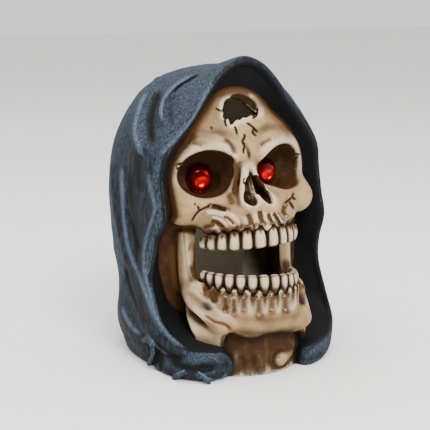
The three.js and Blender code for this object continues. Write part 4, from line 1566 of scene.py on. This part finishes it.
    def _wash_and_shade(self, points: Array, hood: Array) -> Array:
        """Tells how much umber lies on each point of the bone: brown wash in the cut hollows, painted shade
        under the jaw's arch, on the neck and under the cheek, and umber behind the teeth and beside the
        cloth.

        Args:
            points: The places, in millimetres.
            hood: Their distances to the cloth.

        Returns:
            The umber's share, from 0 to 1.
        """
        x, y, z = np.abs(points[:, 0]), points[:, 1], points[:, 2]
        upper = z > self.jaw_height
        # Sockets, nose and hole, all cut into the head's body, but not the nose's middle wall
        cut = rise(0.2, 1.4, -self.head.body.distance(points)) * upper
        nose_wall = rise(2.6, 1.6, np.abs(points[:, 0] - 1.2)) * (y < -30) * (z < 117)
        cut *= 1.0 - 0.75 * nose_wall
        # Painted shade inside the jaw's arch under the chin, and umber behind both rows of teeth
        behind_arch = rise(1.0, 0.93, np.sqrt((x / 43) ** 2 + ((y + 12) / 48) ** 2)) * rise(56, 46, z)
        behind_teeth = rise(1.0, 0.85, np.sqrt((x / 30.5) ** 2 + ((y + 31) / 23) ** 2)) * (z > 44) * ~upper
        # Umber on the jaw's sides beside the cloth, and painted shade on its joint under the cheek
        jaw_side = rise(-19.5, -16.5, y) * rise(31, 33, x) * rise(94, 84, z)
        jaw_top = rise(80, 86, z) * rise(90, 87, z) * rise(30, 33, x) * rise(-28, -24, y)
        # Painted shade on the neck, under the chin
        neck = 0.85 * rise(37, 30, z + 0.1 * points[:, 0]) * rise(3.0, 0.5, np.hypot(x, y + 22) - 39.0)
        # Umber on the bone beside the cloth, more on the head
        beside_cloth = (0.5 + 0.4 * upper) * rise(np.where(upper, 8.0, 4.0), 0.5, hood)
        return np.max([cut, behind_arch, behind_teeth, jaw_side, jaw_top, neck, beside_cloth], axis=0)


# Finishes

def linear(code: str) -> tuple[float, float, float, float]:
    """Turns an sRGB hex colour into the linear values that shaders take.

    Args:
        code: The colour as #RRGGBB.

    Returns:
        Red, green, blue and an opacity of 1.
    """
    parts = [int(code[i:i + 2], 16) / 255 for i in (1, 3, 5)]
    turned_linear = [p / 12.92 if p <= 0.04045 else ((p + 0.055) / 1.055) ** 2.4 for p in parts]
    return (*turned_linear, 1.0)


class Shader:
    """A material under construction."""

    def __init__(self, name: str) -> None:
        """Starts a material with a Principled shader.

        Args:
            name: The material's name.
        """
        self.material = bpy.data.materials.new(name)
        self.material.use_nodes = True
        self.tree = self.material.node_tree
        self.surface = self.tree.nodes["Principled BSDF"]

    def fill(self, socket: Socket, value: object) -> None:
        """Links a socket to another, or sets its value; a hex colour becomes a linear one.

        Args:
            socket: The input socket.
            value: An output socket, a number, several numbers or a hex colour.
        """
        if isinstance(value, Socket):
            self.tree.links.new(value, socket)
        else:
            socket.default_value = linear(value) if isinstance(value, str) else value

    def add(self, kind: str, inputs: dict, output: int | str = 0, **settings: object) -> Socket:
        """Adds one node.

        Args:
            kind: The node's type name after "ShaderNode".
            inputs: What its input sockets are filled with, by name or number.
            output: The name or number of the output that is wanted.
            settings: Values of the node's own properties.

        Returns:
            The output socket.
        """
        made = self.tree.nodes.new("ShaderNode" + kind)
        for name, value in settings.items():
            setattr(made, name, value)
        for name, value in inputs.items():
            self.fill(made.inputs[name], value)
        return made.outputs[output]

    def cover(self, *parts: object) -> Socket:
        """Works out how far a coat covers, as the product of its parts.

        Args:
            parts: Sockets and numbers, and sockets with the values where the cover starts and where it is
                full, between which it rises smoothly.

        Returns:
            The cover, from 0 for none to 1 for a full one.
        """
        product = None
        for part in parts:
            if isinstance(part, tuple):
                value, start, full = part
                part = self.add("MapRange", {"Value": value, "From Min": start, "From Max": full},
                                interpolation_type="SMOOTHSTEP")
            if product is None:
                product = part
            else:
                product = self.add("Math", {0: product, 1: part}, operation="MULTIPLY")
        return product

    def coat(self, under: object, colour: object, *parts: object) -> Socket:
        """Lays a coat of colour over what is there.

        Args:
            under: The colour underneath, as a hex colour or a socket.
            colour: The coat's colour, as a hex colour or a socket.
            parts: What its cover is made of, as for cover.

        Returns:
            The colour that shows.
        """
        inputs = {0: self.cover(*parts), 6: under, 7: colour}
        return self.add("Mix", inputs, 2, data_type="RGBA", clamp_factor=True)

    def heavy(self, share: Socket) -> Socket:
        """Strengthens a thin wash: a coat laid twice."""
        bare = self.add("Math", {0: 1.0, 1: share}, operation="SUBTRACT")
        return self.add("Math", {0: 1.0, 1: self.cover(bare, bare)}, operation="SUBTRACT")

    def clouds(self, size_mm: float, detail: float = 3.0, stretch: Triple = (1, 1, 1)) -> Socket:
        """Makes a cloudy pattern.

        Args:
            size_mm: How many millimetres across the clouds are, about.
            detail: How many finer layers they have.
            stretch: The factors of the pattern's pace along X, Y and Z.

        Returns:
            The pattern, from 0 to 1.
        """
        place = self.add("TexCoord", {}, "Object")
        paced = self.add("Mapping", {"Vector": place, "Scale": stretch})
        inputs = {"Vector": paced, "Scale": 1.0 / (size_mm * MM), "Detail": detail}
        return self.add("TexNoise", inputs, "Fac")

    def dress(self, **values: object) -> Material:
        """Fills the Principled shader's sockets, whose names have underscores for spaces.

        Args:
            values: A value or socket for each named input.

        Returns:
            The material.
        """
        for name, value in values.items():
            self.fill(self.surface.inputs[name.replace("_", " ")], value)
        return self.material


@dataclass(frozen=True)
class PaintedResin:
    """Polyester resin, cast and painted by hand.

    The bone is ivory with a brown wash wiped off the high places, so hollows, seams and cracks stay dark;
    under the jaw's arch, on the neck and under the cheek its umber is painted shade, and it is darker beside
    the cloth.
    The cloth is matt charcoal, dry-brushed with blue-grey on its ridges, with painted light where it faces
    up and near-black painted shade in its hollows, its drawn valleys and inside the hood. The hollow's
    inside is pale, a painted light that lifts its shade, with umber near the mouth.
    """

    ivory: str = "#A88C64"
    pale_ivory: str = "#CDBB9C"
    tan: str = "#6C5234"
    wash: str = "#4C3016"
    umber: str = "#35200C"
    deep_wash: str = "#221206"
    charcoal: str = "#101113"
    slate: str = "#292F37"
    # Painted shade: near black for the cloth's hollows, its drawn valleys and inside the hood
    cloth_shade: str = "#0E0E0F"
    dry_brush: str = "#7890A8"
    # Painted light: a pale colour for the hollow's inside, which lifts the shade it lies in
    bare: str = "#E6DCC6"
    roughness: float = 0.7
    sheen_level: float = 0.12
    patch_mm: float = 16.0
    cloud_mm: float = 7.0
    edge_mm: float = 3.0
    streak_mm: float = 1.8
    grain_mm: float = 0.9
    speck_mm: float = 0.8
    grain_depth_mm: float = 0.5
    grain_strength: float = 0.5
    bone_grain: float = 0.25
    drape: Triple = (1, 1, 0.25)
    bristle: Triple = (1, 1, 0.4)
    # Where a coat starts and where it is full, on the guide or pattern that it follows
    edge: Pair = (-0.05, 0.25)
    edge_wobble: float = 0.3
    wall: Pair = (0.9, 0.5)
    patches: Pair = (0.42, 0.68)
    patch_share: float = 0.6
    high_bone: Pair = (0.1, 0.7)
    high_share: float = 0.92
    deep_bone: Pair = (0.05, 0.7)
    wash_least: float = 0.4
    wash_and_shade_least: float = 0.45
    worn_edge: Pair = (0.1, 0.5)
    worn_share: float = 0.7
    crease: Pair = (0.05, 0.5)
    crease_share: float = 0.9
    seam: Pair = (0.02, 0.2)
    seam_ends: Pair = (0.55, 0.6)
    wiped: Pair = (0.0, -1.0)
    faint_ink: Pair = (0.0, 0.95)
    full_ink: Pair = (0.7, 1.35)
    streaks: Pair = (0.3, 0.75)
    specks: Pair = (0.3, 0.85)
    high_cloth: Pair = (0.05, 0.5)
    # Painted light: the dry-brush colour also lies where the cloth faces up
    lit_top: Pair = (-0.1, 0.8)
    brush_and_top_light_share: float = 0.3
    # Painted shade in the cloth's hollows and inside the hood
    cloth_hollow_shade: Pair = (0.02, 0.4)
    lining: Pair = (-1.5, 1.5)
    brushed: Pair = (-0.15, -1.4)
    brush_least: float = 0.25
    brush_specks: float = 0.4
    # Painted shade along the cloth's drawn valleys
    valley_shade: Pair = (0.05, 0.9)

    def make(self) -> Material:
        """Builds the material.

        Returns:
            The material, which reads the guides that the casting carries.
        """
        shader = Shader("painted_resin")
        guides = {name: shader.add("Attribute", {}, "Fac", attribute_name=name) for name in GUIDES}
        bone = self._bone(shader, guides)
        cloth = self._cloth(shader, guides)
        edge = shader.add("Math", {0: shader.clouds(self.edge_mm), 1: self.edge_wobble, 2: guides["cloth"]},
                          operation="MULTIPLY_ADD")
        is_cloth = shader.cover((edge, *self.edge))
        # The inside wall: painted light, pale to lift the hollow's shade, with umber near the mouth
        wall = shader.coat(self.bare, self.umber, shader.heavy(guides["throat"]))
        colour = shader.coat(bone, cloth, is_cloth)
        colour = shader.coat(colour, wall, (guides["inner"], *self.wall))
        rough = shader.add("Math", {0: is_cloth, 1: self.bone_grain}, operation="ADD")
        grain = shader.add("Bump", {"Height": shader.cover(shader.clouds(self.grain_mm), rough),
                                    "Distance": self.grain_depth_mm * MM, "Strength": self.grain_strength})
        return shader.dress(Base_Color=colour, Roughness=self.roughness, Specular_IOR_Level=self.sheen_level,
                            Normal=grain)

    def _bone(self, shader: Shader, guides: dict[str, Socket]) -> Socket:
        """Paints the bone.

        Args:
            shader: The material under construction.
            guides: The casting's guides by name.

        Returns:
            The bone's colour.
        """
        cloud = shader.clouds(self.cloud_mm, 4.0)
        patch = shader.clouds(self.patch_mm)
        ink_and_valley_shade = guides["ink_and_valley_shade"]
        colour = shader.coat(self.ivory, self.tan, (patch, *self.patches), self.patch_share)
        high = (guides["broad_ridge"], *self.high_bone)
        colour = shader.coat(colour, self.pale_ivory, high, self.high_share)
        wet = shader.add("Math", {0: cloud, 1: self.wash_least}, operation="ADD")
        washed = shader.cover((guides["broad_hollow"], *self.deep_bone), wet)
        colour = shader.coat(colour, self.wash, shader.heavy(washed))
        # Umber by its guide: brown wash, and painted shade under the jaw's arch, on the neck and under the
        # cheek
        umber_cloud = shader.add("Math", {0: cloud, 1: self.wash_and_shade_least}, operation="ADD")
        worn = shader.cover((guides["fine_ridge"], *self.worn_edge), self.worn_share)
        patchy = shader.add("Math", {0: umber_cloud, 1: worn}, operation="SUBTRACT")
        colour = shader.coat(colour, self.umber, shader.heavy(shader.cover(guides["wash_and_shade"], patchy)))
        creases = (guides["fine_hollow"], *self.crease)
        colour = shader.coat(colour, self.deep_wash, creases, self.crease_share)
        colours = (self.umber, self.deep_wash)
        for row, seam, end in zip(("upper_teeth", "lower_teeth"), colours, self.seam_ends):
            colour = shader.coat(colour, seam, (guides[row], *self.seam), (guides[row], end, end / 2))
        colour = shader.coat(colour, self.pale_ivory, (ink_and_valley_shade, *self.wiped))
        colour = shader.coat(colour, self.wash, (ink_and_valley_shade, *self.faint_ink))
        return shader.coat(colour, self.deep_wash, (ink_and_valley_shade, *self.full_ink))

    def _cloth(self, shader: Shader, guides: dict[str, Socket]) -> Socket:
        """Paints the cloth.

        Args:
            shader: The material under construction.
            guides: The casting's guides by name.

        Returns:
            The cloth's colour.
        """
        streaks = shader.clouds(self.streak_mm, 5.0, self.drape)
        specks = shader.cover((shader.clouds(self.speck_mm, 4.0, self.bristle), *self.specks))
        colour = shader.coat(self.charcoal, self.slate, (streaks, *self.streaks))
        # Blue-grey dry-brush on the ridges, and painted light where the cloth faces up
        upward = shader.add("SeparateXYZ", {0: shader.add("NewGeometry", {}, "Normal")}, "Z")
        ridges_and_lit_tops = shader.add("Math", {0: shader.cover((guides["broad_ridge"], *self.high_cloth)),
                                     1: shader.cover((upward, *self.lit_top))}, operation="MAXIMUM")
        colour = shader.coat(colour, self.dry_brush, ridges_and_lit_tops, specks, self.brush_and_top_light_share)
        # Painted shade, near black, in the cloth's hollows
        colour = shader.coat(colour, self.cloth_shade, (guides["broad_hollow"], *self.cloth_hollow_shade))
        # Painted shade, near black, inside the hood behind the rim
        colour = shader.coat(colour, self.cloth_shade, (guides["lining"], *self.lining))
        bristles = shader.add("Math", {0: specks, 1: self.brush_specks, 2: self.brush_least},
                              operation="MULTIPLY_ADD")
        colour = shader.coat(colour, self.dry_brush, (guides["ink_and_valley_shade"], *self.brushed), bristles)
        # Painted shade, near black, along the cloth's drawn valleys
        return shader.coat(colour, self.cloth_shade, (guides["ink_and_valley_shade"], *self.valley_shade))


@dataclass(frozen=True)
class RedAcrylic:
    """Acrylic, injection moulded with polished facets: clear deep red with sharp bright reflections."""

    colour: str = "#E80018"
    glint: str = "#FF6A6A"
    ior: float = 1.45
    roughness: float = 0.02

    def make(self) -> Material:
        """Builds the material."""
        return Shader("red_acrylic").dress(Base_Color=self.colour, Specular_Tint=self.glint, IOR=self.ior,
                                           Transmission_Weight=1.0, Roughness=self.roughness)


@dataclass(frozen=True)
class MirrorFoil:
    """Vacuum-plated aluminium on the stone's back, seen red through it."""

    colour: str = "#C81C24"
    roughness: float = 0.18

    def make(self) -> Material:
        """Builds the material."""
        return Shader("mirror_foil").dress(Base_Color=self.colour, Metallic=1.0, Roughness=self.roughness)


@dataclass(frozen=True)
class PaperFloor:
    """Seamless white studio paper: dead matt and even."""

    colour: str = "#F4F3F1"
    roughness: float = 0.9

    def make(self) -> Material:
        """Builds the material."""
        return Shader("paper_floor").dress(Base_Color=self.colour, Roughness=self.roughness)


# Pieces

def to_frame(points: Array) -> Array:
    """Moves points from the sculptor's millimetres to the row frame's metres."""
    return (np.asarray(points, float) + np.array([0.0, FRAME_SHIFT_Y, 0.0])) * MM


def mesh_object(name: str, points: Array, faces: Array) -> Piece:
    """Makes an object from points in the sculptor's frame and faces of equal size.

    Args:
        name: The piece's name.
        points: One row for each point, in millimetres.
        faces: One row of point numbers for each face.

    Returns:
        The object, linked to the scene.
    """
    mesh = bpy.data.meshes.new(name)
    mesh.vertices.add(len(points))
    mesh.vertices.foreach_set("co", to_frame(points).astype(np.float32).ravel())
    sides = faces.shape[1]
    mesh.loops.add(faces.size)
    mesh.loops.foreach_set("vertex_index", faces.astype(np.int32).ravel())
    mesh.polygons.add(len(faces))
    mesh.polygons.foreach_set("loop_start", np.arange(0, faces.size, sides, dtype=np.int32))
    mesh.update(calc_edges=True)
    made = bpy.data.objects.new(name, mesh)
    bpy.context.scene.collection.objects.link(made)
    return made


def points_of(made: Piece) -> Array:
    """Reads an object's points back in the sculptor's millimetres.

    Args:
        made: The object.

    Returns:
        One row for each point.
    """
    flat = np.empty(len(made.data.vertices) * 3, np.float32)
    made.data.vertices.foreach_get("co", flat)
    return flat.reshape(-1, 3).astype(float) / MM - np.array([0.0, FRAME_SHIFT_Y, 0.0])


@dataclass
class CastingPiece:
    """The casting as a Blender piece."""

    casting: Casting = field(default_factory=Casting)
    mesher: SkinMesher = field(default_factory=SkinMesher)
    quick_cell: float = 1.2
    quick_halvings: int = 2
    kept_paint: float = 0.3
    kept_strength: float = 0.00001
    slope_reach: float = 0.2
    least_slope: float = 0.3
    longest_step: float = 0.3
    unfold_rounds: int = 5
    folded_below: float = 0.25

    def build(self) -> Piece:
        """Meshes, thins, sharpens and paints the casting.

        Returns:
            The piece.
        """
        points, faces = self.mesher.build(self.casting.distance)
        made = mesh_object("hooded_skull_casting", points, faces)
        marked = np.nonzero(self.mesher.evaluate(self.casting.painted, points) > self.kept_paint)[0]
        made.vertex_groups.new(name="painted").add(marked.tolist(), 1.0, "REPLACE")
        LOG.info("%d of %d points are kept for the paint", len(marked), len(points))
        self._thin(made, len(faces) * 2)
        spots = points_of(made)
        slope = self._slope(spots)
        steepness = np.linalg.norm(slope, axis=1)
        step = self.mesher.evaluate(self.casting.distance, spots) / np.maximum(steepness, self.least_slope)
        step = np.clip(step, -self.longest_step, self.longest_step)
        normals = slope / np.maximum(steepness, 1e-6)[:, None]
        spots = self._unfold(made, spots - normals * step[:, None], normals)
        spots[:, 2] = np.maximum(spots[:, 2], 0.0)
        made.data.vertices.foreach_set("co", to_frame(spots).astype(np.float32).ravel())
        self._store_guides(made, spots, normals)
        made.data.shade_smooth()
        made.data.update()
        made.data.materials.append(PaintedResin().make())
        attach(made, BODY)
        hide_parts(Node.CASTING.value)
        return made

    def _thin(self, made: Piece, triangles: int) -> None:
        """Takes triangles away where the skin is plain.

        Args:
            made: The piece.
            triangles: How many triangles it has.
        """
        thin = made.modifiers.new("thin", "DECIMATE")
        thin.ratio = min(1.0, self.casting.triangles / triangles)
        thin.vertex_group = "painted"
        thin.invert_vertex_group = True
        thin.vertex_group_factor = self.kept_strength
        graph = bpy.context.evaluated_depsgraph_get()
        thinned = bpy.data.meshes.new_from_object(made.evaluated_get(graph))
        made.modifiers.clear()
        made.data = thinned

    def _unfold(self, made: Piece, spots: Array, normals: Array) -> Array:
        """Evens out the few points round which triangles lie folded over.

        Args:
            made: The piece, for its triangles.
            spots: The points of its skin.
            normals: The way out at each point.

        Returns:
            The points, moved a little where triangles were folded.
        """
        made.data.calc_loop_triangles()
        corners = np.empty(len(made.data.loop_triangles) * 3, np.int32)
        made.data.loop_triangles.foreach_get("vertices", corners)
        corners = corners.reshape(-1, 3)
        ends = np.concatenate([corners, corners[:, (1, 2, 0)]]).ravel()
        others = np.concatenate([corners[:, (1, 2, 0)], corners]).ravel()
        count = np.maximum(np.bincount(ends, minlength=len(spots)), 1)
        meant = normals[corners].sum(axis=1)
        for _ in range(self.unfold_rounds):
            a, b, c = (spots[corners[:, k]] for k in range(3))
            flat = np.cross(b - a, c - a)
            size = np.linalg.norm(flat, axis=1) * np.linalg.norm(meant, axis=1)
            folded = (flat * meant).sum(axis=1) < self.folded_below * size
            LOG.info("%d triangles are folded", folded.sum())
            if not folded.any():
                break
            bad = np.unique(corners[folded])
            sums = [np.bincount(ends, spots[others, axis], len(spots)) for axis in range(3)]
            middle = np.stack(sums, axis=1)[bad] / count[bad, None]
            spots[bad] = (spots[bad] + middle) / 2
        return spots

    def _slope(self, spots: Array) -> Array:
        """Works out how the field rises at each point.

        Args:
            spots: The points of the skin.

        Returns:
            The field's gradient at each point.
        """
        reach = self.slope_reach
        rises = []
        for step in np.eye(3) * reach:
            ahead = self.mesher.evaluate(self.casting.distance, spots + step)
            behind = self.mesher.evaluate(self.casting.distance, spots - step)
            rises.append((ahead - behind) / (2 * reach))
        return np.stack(rises, axis=1)

    def _store_guides(self, made: Piece, spots: Array, normals: Array) -> None:
        """Writes the paint's guides onto the mesh.

        Args:
            made: The piece.
            spots: The points of its skin.
            normals: The way out at each point.
        """
        values = {name: np.zeros(len(spots), np.float32) for name in GUIDES}
        for block in self.mesher.blocks(spots):
            for name, found in self.casting.guides(spots[block], normals[block]).items():
                values[name][block] = found
        for name in GUIDES:
            made.data.attributes.new(name, "FLOAT", "POINT").data.foreach_set("value", values[name])


@dataclass
class EyeStone:
    """One round faceted stone with a plated back."""

    side: int
    centre: Triple = (22.2, -12.6, 110.0)
    turn: float = 0.157
    radius: float = 8.8
    table: float = 4.1
    star: float = 6.2
    star_drop: float = 0.75
    girdle: Pair = (3.2, 3.9)
    top: float = 7.0
    culet: float = 0.3
    facets: int = 12

    def build(self) -> Piece:
        """Cuts the stone and sets it in its socket.

        Returns:
            The piece.
        """
        count = self.facets
        even = np.arange(count) / count * 2 * np.pi
        odd = even + np.pi / count
        low, high = self.girdle
        rings = [
            (even, self.table, self.top), (odd, self.star, self.top - self.star_drop),
            (even, self.radius, high), (even, self.radius, low), (odd, self.radius * 0.5, low * 0.55),
        ]
        points = [(0.0, 0.0, self.top)]
        for angles, radius, height in rings:
            points += [(radius * math.cos(a), radius * math.sin(a), height) for a in angles]
        points.append((0.0, 0.0, self.culet))
        faces, plated = [], []
        for i in range(count):
            starts = range(1, len(rings) * count, count)
            table, star, crown, girdle, pavilion = (start + i for start in starts)
            table2, star2, crown2, girdle2, pavilion2 = (start + (i + 1) % count for start in starts)
            faces += [(0, table, table2), (table, star, table2), (star, star2, table2)]
            faces += [(star, crown, crown2), (star, crown2, star2)]
            faces += [(crown, girdle, girdle2), (crown, girdle2, crown2)]
            plated += [(girdle, pavilion, girdle2), (pavilion, pavilion2, girdle2)]
            plated += [(pavilion, len(points) - 1, pavilion2)]
        spots = np.array(points)
        spots = np.stack([spots[:, 0], -spots[:, 2], spots[:, 1]], axis=1)
        c, s = math.cos(self.side * self.turn), math.sin(self.side * self.turn)
        spots = spots @ np.array([[c, -s, 0], [s, c, 0], [0, 0, 1]]).T
        spots += np.array([self.centre[0] * self.side, self.centre[1], self.centre[2]])
        name = "left_eye_stone" if self.side > 0 else "right_eye_stone"
        made = mesh_object(name, spots, np.array(faces + plated))
        made.data.materials.append(RedAcrylic().make())
        made.data.materials.append(MirrorFoil().make())
        slots = np.array([0] * len(faces) + [1] * len(plated), np.int32)
        made.data.polygons.foreach_set("material_index", slots)
        made.data.update()
        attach(made, BODY)
        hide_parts((Node.LEFT_GEM if self.side > 0 else Node.RIGHT_GEM).value)
        return made


@dataclass
class Studio:
    """Floor, soft lights and the camera at the photograph's angle."""

    view: Viewpoint = field(default_factory=Viewpoint)
    lens: float = 86.4
    sensor: float = 36.0
    floor_side: float = 8.0
    floor_drop: float = 0.0002
    backdrop: str = "#FBFBFB"
    backdrop_light: float = 1.15
    lit_height: float = 0.09
    lamps: Sequence[tuple[str, Triple, float, float]] = (
        ("key", (-0.15, -0.85, 1.0), 0.5, 17.0), ("fill", (0.8, -0.7, 0.4), 0.8, 2.5),
        ("top", (-0.2, 0.2, 1.1), 0.9, 10.0),
    )

    def build(self) -> None:
        """Sets up the floor, the lights and the camera."""
        half = self.floor_side / 2 / MM
        corners = np.array([(-half, -half, 0), (half, -half, 0), (half, half, 0), (-half, half, 0)], float)
        floor = mesh_object("floor", corners, np.array([[0, 1, 2, 3]]))
        floor.location.z = -self.floor_drop
        floor.data.materials.append(PaperFloor().make())
        world = bpy.data.worlds.new("studio")
        world.use_nodes = True
        background = world.node_tree.nodes["Background"]
        background.inputs["Color"].default_value = linear(self.backdrop)
        background.inputs["Strength"].default_value = self.backdrop_light
        bpy.context.scene.world = world
        for lamp in self.lamps:
            self._light(*lamp)
        self._camera()

    def _light(self, name: str, place: Triple, size: float, power: float) -> None:
        """Hangs a square soft light that faces the ornament.

        Args:
            name: The light's name.
            place: Where it hangs, in metres.
            size: Its side, in metres.
            power: Its power, in watts.
        """
        data = bpy.data.lights.new(name, "AREA")
        data.size = size
        data.energy = power
        lamp = bpy.data.objects.new(name, data)
        lamp.location = place
        towards = Vector((0, 0, self.lit_height)) - Vector(place)
        lamp.rotation_euler = towards.to_track_quat("-Z", "Y").to_euler()
        bpy.context.scene.collection.objects.link(lamp)

    def _camera(self) -> None:
        """Stands the camera where the photograph was taken."""
        back = Vector(self.view.axes()[2])
        data = bpy.data.cameras.new("photo_camera")
        data.lens = self.lens
        data.sensor_width = self.sensor
        camera = bpy.data.objects.new("photo_camera", data)
        camera.location = to_frame(np.array([self.view.eye]))[0]
        camera.rotation_mode = "QUATERNION"
        camera.rotation_quaternion = (-back).to_track_quat("-Z", "Y")
        bpy.context.scene.collection.objects.link(camera)
        bpy.context.scene.camera = camera


def main() -> None:
    """Builds the ornament piece by piece."""
    logging.basicConfig(level=logging.INFO, format="%(message)s")
    Studio().build()
    casting = CastingPiece().build()
    LOG.info("%s: %d faces", casting.name, len(casting.data.polygons))
    for side in (-1, 1):
        stone = EyeStone(side).build()
        LOG.info("%s: %d faces", stone.name, len(stone.data.polygons))


if __name__ == "__main__":
    main()
